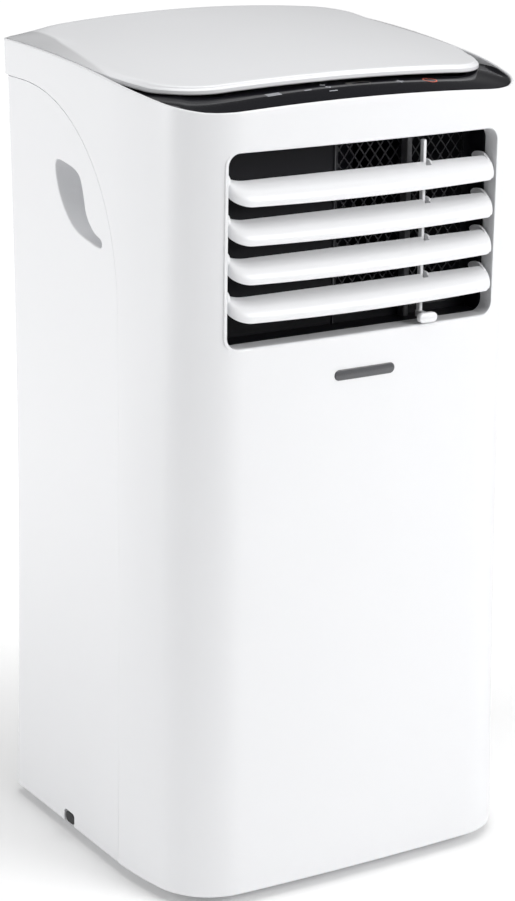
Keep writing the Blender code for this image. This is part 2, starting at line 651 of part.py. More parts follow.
def make_link(first_axis):
    """Vertical link that ties the blades together, with the finger knob at its foot."""
    pin = make_empty("link_axis", (LINK_X, -LINK_CRANK, 0), first_axis)
    top = 0.0198
    foot = OPENING_Z0 + 0.006 - LOUVER_PIVOT_TOP_Z
    half, deep = LINK_WIDTH / 2, LINK_DEPTH / 2
    link = make_object("link_bar", box(-half, half, -deep, deep, foot, top), pin, "white_louver")
    for k in range(LOUVER_COUNT):
        fuse(link, rod("X", (0, -k * LOUVER_PITCH), PEG_R, 0.0, 0.0055, 8), f"peg_{k + 1}")
    knob_y = -0.151 - (LOUVER_PIVOT_Y - LINK_CRANK)
    knob_z = OPENING_Z0 + 0.0055 - LOUVER_PIVOT_TOP_Z
    fuse(link, box(-0.0030, 0.0012, knob_y + 0.001, deep - 0.0005, knob_z - 0.0035, knob_z + 0.0025), "neck")
    knob = rounded_rectangle(-0.0130, 0.0045, knob_z - 0.0040, knob_z + 0.0042, 0.0039, 4)
    fuse(link, prism(knob, "Y", knob_y - 0.0012, knob_y + 0.0046), "knob")


# ---- Air movers ----

def scroll_outline(fan, inset):
    """Volute outline in X and Z, with its discharge rising at the right."""
    r0, r1 = fan["r0"] - inset, fan["r1"] - inset
    points = [(fan["x"] + r1, fan["top"] - inset), (fan["x"] + r0 * math.cos(SCROLL_TONGUE) + inset, fan["top"] - inset)]
    steps = 16
    for k in range(steps + 1):
        angle = SCROLL_TONGUE + (math.tau - SCROLL_TONGUE) * k / steps
        radius = r0 + (r1 - r0) * k / steps
        points.append((fan["x"] + radius * math.cos(angle), fan["z"] + radius * math.sin(angle)))
    return points


def make_scroll(name, fan, unit):
    """Blower housing, a closed volute pierced by its eye, shaft hole and discharge."""
    outer = scroll_outline(fan, 0.0)
    inner = scroll_outline(fan, WALL)
    y0, y1 = fan["y0"], fan["y1"]
    housing = make_object(name, prism(outer, "Y", y0, y1), unit, "black_matt")
    cut(housing, prism(inner, "Y", y0 + WALL, y1 - WALL), "hollow")
    cut(housing, rod("Y", (fan["x"], fan["z"]), fan["eye_r"], y1 - 0.006, y1 + 0.01, 28), "eye")
    cut(housing, rod("Y", (fan["x"], fan["z"]), 0.008, y0 - 0.01, y0 + 0.006, 16), "shaft_hole")
    return housing


def make_wheel(name, fan, axis):
    """Blower wheel: hub sleeve, back plate, slotted drum and front ring, all one moulding."""
    radius = fan["wheel_r"]
    front = fan["y0"] + 0.008
    rear = fan["y1"] - 0.008
    profile = [(0.0100, rear - 0.020), (0.0100, front + 0.012), (0.030, front), (radius, front),
               (radius, front + 0.006), (radius, rear - 0.006), (radius, rear)]
    columns = 2 * WHEEL_BLADES
    bm = bmesh.new()
    grid = []
    for k in range(columns):
        angle = math.tau * k / columns
        grid.append([bm.verts.new((r * math.cos(angle), y, r * math.sin(angle))) for r, y in profile])
    for k in range(columns):
        here, after = grid[k], grid[(k + 1) % columns]
        for j in range(len(profile) - 1):
            if j == 4 and k % 2:
                continue
            bm.faces.new((here[j], here[j + 1], after[j + 1], after[j]))
    wheel = make_object(name, bm, axis, "black_matt")
    skin = wheel.modifiers.new("thickness", "SOLIDIFY")
    skin.thickness = 0.0022
    skin.offset = 0.0


def make_shaft(name, fan, axis):
    """Motor shaft that carries the wheel, with a boss that fills the wheel's hub."""
    rear = fan["y1"] - 0.030
    profile = [(0, fan["y0"] - 0.030), (SHAFT_R, fan["y0"] - 0.030), (SHAFT_R, fan["y0"] + 0.022),
               (0.0084, fan["y0"] + 0.022), (0.0084, rear), (0, rear)]
    make_object(name, turn_to_y(turned(profile, 16), 0, 0, 0), axis, "steel")


def make_motor(name, fan, radius, unit):
    """Fan motor: round can with end bells and a bore for its shaft."""
    back = fan["y0"] - 0.046
    face = fan["y0"] - 0.0016
    profile = [(0, back), (radius * 0.55, back), (radius, back + 0.008), (radius, face - 0.008),
               (radius * 0.6, face), (SHAFT_BORE_R, face), (SHAFT_BORE_R, face - 0.030), (0, face - 0.030)]
    make_object(name, turn_to_y(turned(profile), fan["x"], 0, fan["z"]), unit, "galvanised")


def make_upper_fan(unit):
    """Room-air blower between the evaporator and the outlet."""
    scroll = make_scroll("upper_scroll", UPPER_FAN, unit)
    cut(scroll, box(0.0425, 0.0900, -0.01, 0.012, 0.500, 0.629), "discharge")
    axis = make_empty("upper_fan_axis", (UPPER_FAN["x"], 0, UPPER_FAN["z"]), unit)
    make_wheel("upper_wheel", UPPER_FAN, axis)
    make_shaft("upper_shaft", UPPER_FAN, axis)
    make_motor("upper_motor", UPPER_FAN, 0.038, unit)


def make_lower_fan(unit):
    """Condenser blower, which discharges up into the exhaust duct."""
    scroll = make_scroll("lower_scroll", LOWER_FAN, unit)
    cut(scroll, box(0.088, 0.129, 0.026, 0.082, 0.20, 0.24), "discharge")
    axis = make_empty("lower_fan_axis", (LOWER_FAN["x"], 0, LOWER_FAN["z"]), unit)
    make_wheel("lower_wheel", LOWER_FAN, axis)
    make_shaft("lower_shaft", LOWER_FAN, axis)
    make_motor("lower_motor", LOWER_FAN, 0.034, unit)


def make_exhaust(unit):
    """Hot-air duct from the condenser blower, and the spigot that the hose fits."""
    duct = make_object("exhaust_duct", box(-0.078, 0.141, 0.0205, 0.1465, 0.2220, 0.3554), unit, "black_matt")
    cut(duct, box(-0.0755, 0.1385, 0.023, 0.144, 0.2245, 0.3529), "hollow")
    cut(duct, box(0.088, 0.129, 0.026, 0.082, 0.20, 0.24), "inlet")
    cut(duct, rod("Y", (0, SPIGOT_Z), SPIGOT_R + FIT, 0.13, 0.16, 28), "outlet")
    flange = 0.1522
    profile = [(SPIGOT_BORE_R, 0.1445), (SPIGOT_R, 0.1445), (SPIGOT_R, flange), (0.0710, flange),
               (0.0710, flange + 0.0025), (SPIGOT_R, flange + 0.0025), (SPIGOT_R, SPIGOT_END_Y),
               (SPIGOT_BORE_R, SPIGOT_END_Y)]
    make_object("exhaust_spigot", turn_to_y(turned(profile, 28), 0, 0, SPIGOT_Z), unit, "white_shell")


# ---- Coils, compressor and pipework ----

def make_coil(name, half_width, y0, y1, z0, z1, unit):
    """Finned coil block: a comb of fins on a solid core."""
    fins, slot = 18, 0.006
    pitch = 2 * half_width / fins
    outline = []
    for k in range(fins):
        x = -half_width + k * pitch
        outline += [(x, y1), (x + pitch - slot, y1), (x + pitch - slot, y1 - slot), (x + pitch, y1 - slot)]
    outline[-1] = (half_width, y1 - slot)
    outline += [(half_width, y0), (-half_width, y0)]
    make_object(name, prism(outline, "Z", z0, z1), unit, "aluminium")


def make_refrigeration(unit):
    """Both coils, the compressor on its feet, the accumulator and the copper pipes."""
    make_coil("evaporator_coil", 0.1270, 0.100, 0.134, 0.386, 0.640, unit)
    make_coil("condenser_coil", 0.1270, 0.098, 0.134, 0.058, 0.215, unit)
    cx, cy = -0.095, 0.008
    profile = [(0, 0.036), (0.050, 0.036), (0.0545, 0.046), (0.0545, 0.190), (0.046, 0.207), (0.025, 0.216),
               (0, 0.218)]
    bm = turned(profile)
    bmesh.ops.translate(bm, vec=(cx, cy, 0), verts=bm.verts)
    compressor = make_object("compressor", bm, unit, "painted_black")
    corners = [(cx + 0.062 * math.cos(a), cy + 0.062 * math.sin(a)) for a in
               (math.radians(t) for t in (20, 140, 260))]
    plate = []
    for x, y in corners:
        around = math.atan2(y - cy, x - cx)
        for turn in (-60, 0, 60):
            a = around + math.radians(turn)
            plate.append((x + 0.011 * math.cos(a), y + 0.011 * math.sin(a)))
    fuse(compressor, prism(plate, "Z", 0.0345, 0.0375), "base_plate")
    for k, (x, y) in enumerate(corners):
        foot = turned([(0, 0.0169), (0.0105, 0.0169), (0.0085, 0.0230), (0.0100, 0.0340), (0, 0.0340)], 14)
        bmesh.ops.translate(foot, vec=(x, y, 0), verts=foot.verts)
        make_object(f"compressor_foot_{k + 1}", foot, unit, "rubber")
    tank = turned([(0, 0.074), (0.006, 0.076), (0.019, 0.088), (0.019, 0.170), (0.006, 0.182), (0, 0.184)], 16)
    bmesh.ops.translate(tank, vec=(-0.100, -0.072, 0), verts=tank.verts)
    make_object("accumulator", tank, unit, "painted_black")
    pipe("suction_pipe", [(-0.100, -0.072, 0.186), (-0.100, -0.072, 0.230), (-0.125, -0.050, 0.275),
                          (-0.147, -0.005, 0.320), (-0.147, 0.010, 0.380), (-0.147, 0.060, 0.420),
                          (-0.1415, 0.116, 0.430), (-0.1295, 0.117, 0.430)], 0.0045, unit, "copper")
    pipe("discharge_pipe", [(-0.098, 0.008, 0.2195), (-0.098, 0.012, 0.245), (-0.115, 0.050, 0.250),
                            (-0.140, 0.090, 0.225), (-0.1415, 0.113, 0.190), (-0.1285, 0.114, 0.190)],
         0.0035, unit, "copper")
    pipe("liquid_pipe", [(-0.1285, 0.124, 0.085), (-0.138, 0.124, 0.090), (-0.157, 0.100, 0.150),
                         (-0.158, 0.040, 0.300), (-0.158, 0.025, 0.380), (-0.158, 0.070, 0.440),
                         (-0.142, 0.124, 0.470), (-0.1285, 0.124, 0.470)], 0.0025, unit, "copper")


def make_electrics(unit):
    """Control box with its board and run capacitor, and the small drain machinery."""
    box_outline = rectangle(0.020, 0.138, 0.056, 0.240)
    make_object("control_box", open_box(box_outline, "Y", -0.062, -0.122, 0.0015), unit, "galvanised")
    make_object("control_board", box(0.026, 0.132, -0.1175, -0.1155, 0.062, 0.190), unit, "board_green")
    make_object("run_capacitor", rod("X", (-0.095, 0.214), 0.017, 0.040, 0.115, 18), unit, "galvanised")
    pump = turned([(0, 0.0170), (0.018, 0.0170), (0.018, 0.050), (0.010, 0.054), (0.010, 0.068), (0, 0.068)], 18)
    bmesh.ops.translate(pump, vec=(-0.010, -0.040, 0), verts=pump.verts)
    make_object("drain_pump", pump, unit, "black_matt")
    axis = make_empty("slinger_axis", (-0.020, 0.092, 0.046), unit)
    teeth = []
    for k in range(16):
        angle = math.tau * k / 16
        radius = 0.024 if k % 4 < 2 else 0.019
        teeth.append((radius * math.cos(angle), radius * math.sin(angle)))
    slinger = make_object("slinger_wheel", prism(teeth, "Y", -0.002, 0.002), axis, "white_louver")
    fuse(slinger, rod("Y", (0, 0), 0.002, -0.014, 0.001, 12), "shaft")
    motor = turned([(0, -0.034), (0.011, -0.034), (0.012, -0.032), (0.012, -0.006), (0.0024, -0.006),
                    (0.0024, -0.020), (0, -0.020)], 18)
    make_object("slinger_motor", turn_to_y(motor, -0.020, 0.092, 0.046), unit, "galvanised")


# ---- Decks ----

def tray(z0, plate, wall_top, inset):
    """A floor plate with an upturned wall, following the body's outline."""
    levels = [(z0, inset), (wall_top, inset), (wall_top, inset + TRAY_WALL), (z0 + plate, inset + TRAY_WALL)]
    return loft([[(x, y, z) for x, y in body_outline(z, d, -REAR_SHELL_IN)] for z, d in levels])


def make_decks(unit):
    """Base pan with its caster wells, and the partition tray under the evaporator."""
    pan = make_object("base_pan", tray(PAN_Z, PAN_PLATE, PAN_WALL_TOP, WALL + 0.0006), unit, "galvanised")
    wells = [(side * CASTER_X, y) for y in CASTER_YS for side in (-1, 1)]
    for k, centre in enumerate(wells):
        fuse(pan, rod("Z", centre, WELL_R + WELL_WALL, PAN_Z + 0.001, WELL_TOP + 0.003, 16), f"well_{k + 1}")
        cut(pan, rod("Z", centre, WELL_R, -0.02, WELL_TOP, 16), f"well_hollow_{k + 1}")
        cut(pan, rod("Z", centre, STEM_R + 0.0003, 0.03, 0.06, 8), f"stem_hole_{k + 1}")
    cut(pan, rod("Y", (DRAIN_X, DRAIN_LOWER_Z), DRAIN_R + FIT, 0.13, 0.2, 16), "drain")
    deck = make_object("partition_tray", tray(DECK_Z, DECK_PLATE, DECK_WALL_TOP, WALL + 0.0006), unit,
                       "black_matt")
    cut(deck, box(-0.166, -0.135, -0.012, 0.044, 0.34, 0.37), "pipe_slot")
    cut(deck, rod("Y", (DRAIN_X, DRAIN_UPPER_Z), DRAIN_R + FIT, 0.13, 0.2, 16), "drain")


# ---- Filters, plugs and gland ----

def make_filter(name, window, unit):
    """Slatted filter cassette that closes a rear window, and its mesh."""
    z0, z1 = window[0] + 0.0008, window[1] - 0.0008
    half = REAR_WINDOW_HALF - 0.0008
    y1 = rear_face((z0 + z1) / 2) - 0.0003
    border, slat = 0.010, 0.004
    rows = round((z1 - z0 - 2 * border + slat) / 0.0225)
    pitch = (z1 - z0 - 2 * border + slat) / rows
    zs = [z0]
    for k in range(rows):
        zs += [z0 + border + k * pitch, z0 + border + k * pitch + pitch - slat]
    zs.append(z1)
    columns = 2
    xs = [-half]
    bay = (2 * half - 2 * border + slat) / columns
    for k in range(columns):
        xs += [-half + border + k * bay, -half + border + k * bay + bay - slat]
    xs.append(half)
    frame = pierced_plate(xs, zs, lambda i, j: i % 2 == 1 and j % 2 == 1, y1 - 0.0075, y1)
    make_object(f"{name}_filter_frame", frame, unit, "white_shell")
    edge = 0.006
    make_object(f"{name}_filter_mesh", box(-half + edge, half - edge, y1 - 0.0091, y1 - 0.0079, z0 + edge, z1 - edge),
                unit, "mesh_grey")


def make_rear_fittings(unit):
    """Filter cassettes, drain plugs and the cord gland."""
    make_filter("upper", UPPER_WINDOW, unit)
    make_filter("lower", LOWER_WINDOW, unit)
    for name, z in (("drain_plug_upper", DRAIN_UPPER_Z), ("drain_plug_lower", DRAIN_LOWER_Z)):
        face = rear_face(z) + 0.0006
        profile = [(0, -0.016), (DRAIN_R - 0.001, -0.016), (DRAIN_R, -0.013), (DRAIN_R, 0), (0.0120, 0),
                   (0.0120, 0.0030), (0.0105, 0.0042), (0, 0.0042)]
        make_object(name, turn_to_y(turned(profile, 16), DRAIN_X, face, z), unit, "rubber")
    face = rear_face(GLAND_Z) + 0.0008
    profile = [(0.0045, -0.010), (GLAND_R, -0.010), (GLAND_R, 0), (0.0105, 0), (0.0105, 0.003), (0.0060, 0.012),
               (0.0045, 0.012)]
    make_object("cord_gland", turn_to_y(turned(profile, 16), GLAND_X, face, GLAND_Z), unit, "rubber")


# ---- Casters ----

def make_caster(name, x, y, unit):
    """One swivel caster: fork with its stem on the swivel axis, and the wheel on its axle."""
    swivel = make_empty(f"{name}_swivel_axis", (x, y, 0), unit)
    gap = CASTER_WHEEL_W / 2 + 0.0006
    leg = 0.0026
    top = 0.0425
    fork = make_object(f"{name}_fork", box(-gap - leg, gap + leg, -0.008, 0.0180, 0.0365, top), swivel, "caster_grey")
    for label, side in (("left", -1), ("right", 1)):
        cheek = [(0.0040, CASTER_WHEEL_R - 0.003), (0.0075, 0.0090), (0.0125, 0.0090), (0.0160, CASTER_WHEEL_R - 0.003),
                 (0.0178, 0.0390), (-0.0078, 0.0390)]
        low, high = sorted((side * gap, side * (gap + leg)))
        fuse(fork, prism(cheek, "X", low, high), f"{label}_cheek")
    fuse(fork, rod("Z", (0, 0), STEM_R, 0.040, STEM_TOP, 8), "stem")
    fuse(fork, rod("X", (CASTER_TRAIL, CASTER_WHEEL_R), 0.0022, -gap - 0.001, gap + 0.001, 10), "axle")
    axle = make_empty(f"{name}_wheel_axis", (0, CASTER_TRAIL, CASTER_WHEEL_R), swivel)
    width, radius = CASTER_WHEEL_W / 2, CASTER_WHEEL_R
    profile = [(0.0026, -width), (radius - 0.002, -width), (radius, -width + 0.002), (radius, width - 0.002),
               (radius - 0.002, width), (0.0026, width)]
    wheel = turned(profile, 20)
    bmesh.ops.rotate(wheel, matrix=Matrix.Rotation(math.radians(90), 3, "Y"), verts=wheel.verts)
    make_object(f"{name}_wheel", wheel, axle, "caster_grey")


def make_casters(unit):
    """The four casters."""
    for end, y in zip(("front", "rear"), CASTER_YS):
        for side, x in (("left", -CASTER_X), ("right", CASTER_X)):
            make_caster(f"caster_{end}_{side}", x, y, unit)


def main():
    """Build the whole unit."""
    clear_scene()
    unit = make_empty("air_conditioner", (0, BODY_SHIFT_Y, 0))
    make_front_panel(unit)
    make_rear_shell(unit)
    make_handle_cups(unit)
    make_lid(unit)
    make_control_panel(unit)
    make_badge(unit)
    make_plenum(unit)
    axes = [make_louver(number, unit) for number in range(1, LOUVER_COUNT + 1)]
    make_link(axes[0])
    make_upper_fan(unit)
    make_lower_fan(unit)
    make_exhaust(unit)
    make_refrigeration(unit)
    make_electrics(unit)
    make_decks(unit)
    make_rear_fittings(unit)
    make_casters(unit)


main()
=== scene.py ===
"""Looks of a portable air conditioner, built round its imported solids.

Metres, +Z up, the outlet faces -Y and the caster wheels stand on Z = 0. Each sub-assembly is a
class that holds its sizes and builds its pieces, and each finish is a small frozen class.
"""

import logging
import math
from dataclasses import dataclass
from enum import Enum
from typing import Callable, Iterable, Sequence

import bmesh
import bpy
from mathutils import Matrix, Vector


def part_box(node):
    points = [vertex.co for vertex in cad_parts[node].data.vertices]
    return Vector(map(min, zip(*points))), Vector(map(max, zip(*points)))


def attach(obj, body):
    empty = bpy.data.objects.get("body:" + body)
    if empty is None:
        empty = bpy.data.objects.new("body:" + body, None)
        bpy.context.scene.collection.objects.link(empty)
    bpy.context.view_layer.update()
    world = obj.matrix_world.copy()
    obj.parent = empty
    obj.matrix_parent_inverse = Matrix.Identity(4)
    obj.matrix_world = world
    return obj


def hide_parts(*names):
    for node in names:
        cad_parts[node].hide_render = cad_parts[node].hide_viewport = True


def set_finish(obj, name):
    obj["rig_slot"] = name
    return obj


logging.basicConfig(level=logging.INFO, format="%(message)s")
LOG = logging.getLogger("air_conditioner")
SMOOTH_ANGLE = math.radians(32)
MERGE = 1e-6

Pair = tuple[float, float]
Ring = Sequence[Sequence[float]]
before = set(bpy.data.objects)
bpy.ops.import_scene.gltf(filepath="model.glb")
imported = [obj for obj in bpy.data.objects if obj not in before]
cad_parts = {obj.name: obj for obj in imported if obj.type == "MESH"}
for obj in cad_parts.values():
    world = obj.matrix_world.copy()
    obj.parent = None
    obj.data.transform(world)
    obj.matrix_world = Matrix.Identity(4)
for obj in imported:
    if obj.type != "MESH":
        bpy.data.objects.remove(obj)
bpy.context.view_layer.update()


# ---- Shader maths ----


class Sock:
    """A node socket, or a number, that Python's operators turn into Math nodes."""

    def __init__(self, shader: "Shader", value: "bpy.types.NodeSocket | float") -> None:
        """Wrap a value for the shader it belongs to."""
        self.shader, self.value = shader, value

    def _math(self, operation: str, *values: "Sock | float") -> "Sock":
        """Add one Math node over the given values."""
        return self.shader.node("ShaderNodeMath", {"operation": operation}, dict(enumerate(values)))

    def __add__(self, other: "Sock | float") -> "Sock":
        """Sum."""
        return self._math("ADD", self, other)

    def __sub__(self, other: "Sock | float") -> "Sock":
        """Difference."""
        return self._math("SUBTRACT", self, other)

    def __rsub__(self, other: float) -> "Sock":
        """Number minus this."""
        return self._math("SUBTRACT", other, self)

    def __mul__(self, other: "Sock | float") -> "Sock":
        """Product."""
        return self._math("MULTIPLY", self, other)

    def __truediv__(self, other: "Sock | float") -> "Sock":
        """Quotient."""
        return self._math("DIVIDE", self, other)

    __radd__ = __add__
    __rmul__ = __mul__

    def wave(self) -> "Sock":
        """Sine of the value."""
        return self._math("SINE", self)

    def size(self) -> "Sock":
        """Absolute value."""
        return self._math("ABSOLUTE", self)

    def above(self, limit: float) -> "Sock":
        """One where the value is over the limit."""
        return self._math("GREATER_THAN", self, limit)

    def larger(self, other: "Sock | float") -> "Sock":
        """The larger of two values."""
        return self._math("MAXIMUM", self, other)


class Shader:
    """Builds the nodes of one material."""

    def __init__(self, name: str) -> None:
        """Start an empty material.

        Args:
            name: The material's name.
        """
        self.material = bpy.data.materials.new(name)
        self.material.use_nodes = True
        self.tree = self.material.node_tree
        self.tree.nodes.clear()

    def node(self, kind: str, settings: dict[str, object], sockets: dict[object, object],
             output: "int | str" = 0) -> Sock:
        """Add one node.

        Args:
            kind: The node's type name.
            settings: Properties of the node, set first; "stops" fills a colour ramp.
            sockets: Value, colour or link of each input, by name or index.
            output: The output that is returned.

        Returns:
            The chosen output socket, wrapped.
        """
        made = self.tree.nodes.new(kind)
        for key, value in settings.items():
            if key == "stops":
                self._fill_ramp(made.color_ramp, value)
            else:
                setattr(made, key, value)
        for key, value in sockets.items():
            value = value.value if isinstance(value, Sock) else value
            if isinstance(value, bpy.types.NodeSocket):
                self.tree.links.new(value, made.inputs[key])
            else:
                made.inputs[key].default_value = value
        return Sock(self, made.outputs[output])

    @staticmethod
    def _fill_ramp(ramp: bpy.types.ColorRamp, stops: Sequence[tuple[float, Sequence[float]]]) -> None:
        """Give a ramp its stops."""
        while len(ramp.elements) < len(stops):
            ramp.elements.new(0.5)
        for element, (place, colour) in zip(ramp.elements, stops):
            element.position = place
            element.color = (*colour, 1.0)

    def place(self) -> Sock:
        """Object coordinates, in metres in the part's own frame."""
        return self.node("ShaderNodeTexCoord", {}, {}, "Object")

    def axis(self, name: str) -> Sock:
        """One object coordinate, "X", "Y" or "Z"."""
        return self.node("ShaderNodeSeparateXYZ", {}, {0: self.place()}, name)

    def noise(self, scale: float, detail: float = 3.0, stretch: Sequence[float] = (1, 1, 1)) -> Sock:
        """Soft noise from 0 to 1.

        Args:
            scale: Blobs per metre.
            detail: Octaves.
            stretch: Scale of each axis.

        Returns:
            The noise value.
        """
        where = self.node("ShaderNodeMapping", {}, {"Vector": self.place(), "Scale": tuple(stretch)})
        return self.node("ShaderNodeTexNoise", {}, {"Vector": where, "Scale": scale, "Detail": detail}, "Fac")

    def cells(self, scale: float, stretch: Sequence[float] = (1, 1, 1), output: str = "Color") -> Sock:
        """Random flat cells, one value each."""
        where = self.node("ShaderNodeMapping", {}, {"Vector": self.place(), "Scale": tuple(stretch)})
        return self.node("ShaderNodeTexVoronoi", {}, {"Vector": where, "Scale": scale}, output)

    def blend(self, mask: "Sock | float", low: object, high: object) -> Sock:
        """Mix two colours by a mask."""
        low = (*low, 1.0) if isinstance(low, tuple) else low
        high = (*high, 1.0) if isinstance(high, tuple) else high
        return self.node("ShaderNodeMix", {"data_type": "RGBA"}, {0: mask, 6: low, 7: high}, 2)

    def ramp(self, value: Sock, stops: Sequence[tuple[float, Sequence[float]]]) -> Sock:
        """Colour of a value between stops."""
        return self.node("ShaderNodeValToRGB", {"stops": stops}, {0: value})

    def bump(self, height: Sock, depth: float, strength: float = 1.0) -> Sock:
        """Normal from a height.

        Args:
            height: Height from 0 to 1.
            depth: What 1 means, in metres.
            strength: How much of it shows.

        Returns:
            The normal.
        """
        return self.node("ShaderNodeBump", {}, {"Height": height, "Distance": depth, "Strength": strength})

    def surface(self, sockets: dict[object, object]) -> bpy.types.Material:
        """Close the material with a Principled shader.

        Args:
            sockets: The shader's inputs.

        Returns:
            The finished material.
        """
        shader = self.node("ShaderNodeBsdfPrincipled", {}, sockets)
        end = self.tree.nodes.new("ShaderNodeOutputMaterial")
        self.tree.links.new(shader.value, end.inputs["Surface"])
        return self.material


# ---- Finishes ----


@dataclass(frozen=True)
class Finish:
    """What every finish has: a name, a material slot, a colour and a roughness."""

    name: str
    slot: str
    colour: tuple[float, float, float]
    roughness: float = 0.4

    def tone(self, factor: float) -> tuple[float, float, float]:
        """The colour, lighter or darker."""
        return tuple(min(1.0, c * factor) for c in self.colour)

    def build(self, shader: Shader) -> bpy.types.Material:
        """Make the material."""
        raise NotImplementedError

    def material(self) -> bpy.types.Material:
        """The finish's material, made once."""
        return bpy.data.materials.get(self.name) or self.build(Shader(self.name))


@dataclass(frozen=True)
class MouldedPlastic(Finish):
    """Injection-moulded plastic: faint grain, slow ripple, and handling marks in its gloss."""

    grain: float = 0.000004
    grain_scale: float = 900.0
    coat: float = 0.0
    gloss: float = 0.5

    def shade(self, shader: Shader, colour: Sock) -> Sock:
        """The base colour; a finish that paints shade on it changes it."""
        return colour

    def build(self, shader: Shader) -> bpy.types.Material:
        """Make the material."""
        grain = shader.noise(self.grain_scale, 2.0)
        ripple = shader.noise(6.0, 1.0)
        wipe = shader.noise(12.0, 2.0, (1, 1, 0.5))
        return shader.surface({
            "Base Color": self.shade(shader, shader.blend(ripple, self.tone(0.995), self.tone(1.005))),
            "Specular IOR Level": self.gloss, "Roughness": wipe * 0.04 + (self.roughness - 0.02),
            "Normal": shader.bump(grain, self.grain, 0.5),
            "Coat Weight": self.coat, "Coat Roughness": 0.10})


@dataclass(frozen=True)
class LidPlastic(MouldedPlastic):
    """White plastic with painted shade on its flanks, outside the crease, where they turn away from the
    light.
    """

    edge_x: float = 0.1712
    flank: float = 0.0187
    start_y: float = -0.064
    span_y: float = 0.140
    soft_edge: float = 0.0030
    # How dark the painted shade on the flanks is.
    flank_shade_tone: float = 0.70

    def shade(self, shader: Shader, colour: Sock) -> Sock:
        """Paint shade on the flanks, less towards the front where they run out."""
        climb = ((shader.axis("Y") - self.start_y) / self.span_y).larger(0.0)
        climb = 1 - (1 - climb).larger(0.0)
        outside = shader.axis("X").size() - (self.edge_x - self.flank * climb)
        mask = (1 - (1 - (outside + 0.0008) / self.soft_edge).larger(0.0)).larger(0.0)
        # The mask lays painted shade on the flanks: a greyer tone in place of their shading.
        return shader.blend(mask * (climb * 0.6 + 0.4), colour, self.tone(self.flank_shade_tone))


@dataclass(frozen=True)
class PianoBlack(Finish):
    """Polished black panel with a soft blue-grey depth and fine dust."""

    def build(self, shader: Shader) -> bpy.types.Material:
        """Make the material."""
        cloud = shader.noise(22.0, 3.0)
        dust = shader.noise(1800.0, 2.0).above(0.72)
        colour = shader.blend(dust * 0.20, self.colour, (0.20, 0.20, 0.21))
        return shader.surface({
            "Base Color": shader.blend(cloud * 0.4, colour, self.tone(1.8)),
            "Roughness": cloud * 0.05 + dust * 0.15 + self.roughness, "Specular IOR Level": 0.12})


@dataclass(frozen=True)
class Rubber(Finish):
    """Dull rubber with a pebbled skin and a dusty bloom."""

    def build(self, shader: Shader) -> bpy.types.Material:
        """Make the material."""
        pebble = shader.noise(1500.0, 4.0)
        bloom = shader.noise(70.0, 4.0)
        return shader.surface({
            "Base Color": shader.blend(bloom * 0.5, self.colour, self.tone(2.4)),
            "Roughness": bloom * 0.15 + (self.roughness - 0.08), "Normal": shader.bump(pebble, 0.00012, 0.6)})


@dataclass(frozen=True)
class Galvanised(Finish):
    """Zinc-coated sheet with a spangle of flat crystals."""

    def build(self, shader: Shader) -> bpy.types.Material:
        """Make the material."""
        spangle = shader.cells(150.0)
        brush = shader.noise(700.0, 3.0, (1, 1, 0.06))
        colour = shader.blend(spangle, self.tone(0.80), self.tone(1.12))
        return shader.surface({
            "Base Color": colour, "Metallic": 1.0, "Roughness": brush * 0.18 + (self.roughness - 0.09),
            "Normal": shader.bump(brush, 0.00005, 0.4)})


@dataclass(frozen=True)
class DrawnMetal(Finish):
    """Turned, drawn or tubed metal: fine lines round it and a slow tarnish."""

    lines: tuple[float, float, float] = (1.0, 1.0, 8.0)
    tarnish: tuple[float, float, float] = (0.30, 0.22, 0.16)

    def build(self, shader: Shader) -> bpy.types.Material:
        """Make the material."""
        streak = shader.noise(420.0, 3.0, self.lines)
        age = shader.noise(26.0, 4.0)
        return shader.surface({
            "Base Color": shader.blend(age * 0.35, self.colour, self.tarnish), "Metallic": 1.0,
            "Roughness": streak * 0.16 + (self.roughness - 0.06),
            "Normal": shader.bump(streak, 0.00004, 0.5)})


@dataclass(frozen=True)
class FinStack(Finish):
    """Thin fins side by side, with painted shade in the gaps between them."""

    pitch: float = 0.0018

    def build(self, shader: Shader) -> bpy.types.Material:
        """Make the material."""
        wave = (shader.axis("X") * (math.tau / self.pitch)).wave() * 0.5 + 0.5
        dirt = shader.noise(60.0, 4.0)
        # The dark tone between fins is painted shade for the gaps; the dirt blend below is real dirt.
        colour = shader.blend(wave, self.tone(0.10), self.tone(1.0))
        return shader.surface({
            "Base Color": shader.blend(dirt * 0.3, colour, self.tone(0.55)), "Metallic": 0.85,
            "Roughness": dirt * 0.2 + self.roughness, "Normal": shader.bump(wave, 0.0006, 0.8)})


@dataclass(frozen=True)
class WovenMesh(Finish):
    """Fine woven filter cloth, threads crossing at a small pitch."""

    pitch: float = 0.0016

    def build(self, shader: Shader) -> bpy.types.Material:
        """Make the material."""
        turn = math.tau / self.pitch
        along = (shader.axis("X") * turn).wave()
        across = (shader.axis("Z") * turn).wave()
        thread = along.size().larger(across.size())
        fluff = shader.noise(90.0, 4.0)
        colour = shader.blend(thread, self.tone(0.18), self.tone(1.5))
        return shader.surface({
            "Base Color": shader.blend(fluff * 0.25, colour, self.tone(2.2)),
            "Roughness": fluff * 0.1 + self.roughness, "Normal": shader.bump(thread, 0.0004, 0.8)})


@dataclass(frozen=True)
class CircuitBoard(Finish):
    """Solder-mask board with traces under the lacquer."""

    def build(self, shader: Shader) -> bpy.types.Material:
        """Make the material."""
        trace = shader.cells(260.0, output="Distance").above(0.46)
        mottle = shader.noise(120.0, 3.0)
        return shader.surface({
            "Base Color": shader.blend(trace, self.tone(0.9), self.tone(1.9)),
            "Roughness": mottle * 0.1 + self.roughness, "Normal": shader.bump(trace, 0.00008, 0.5)})


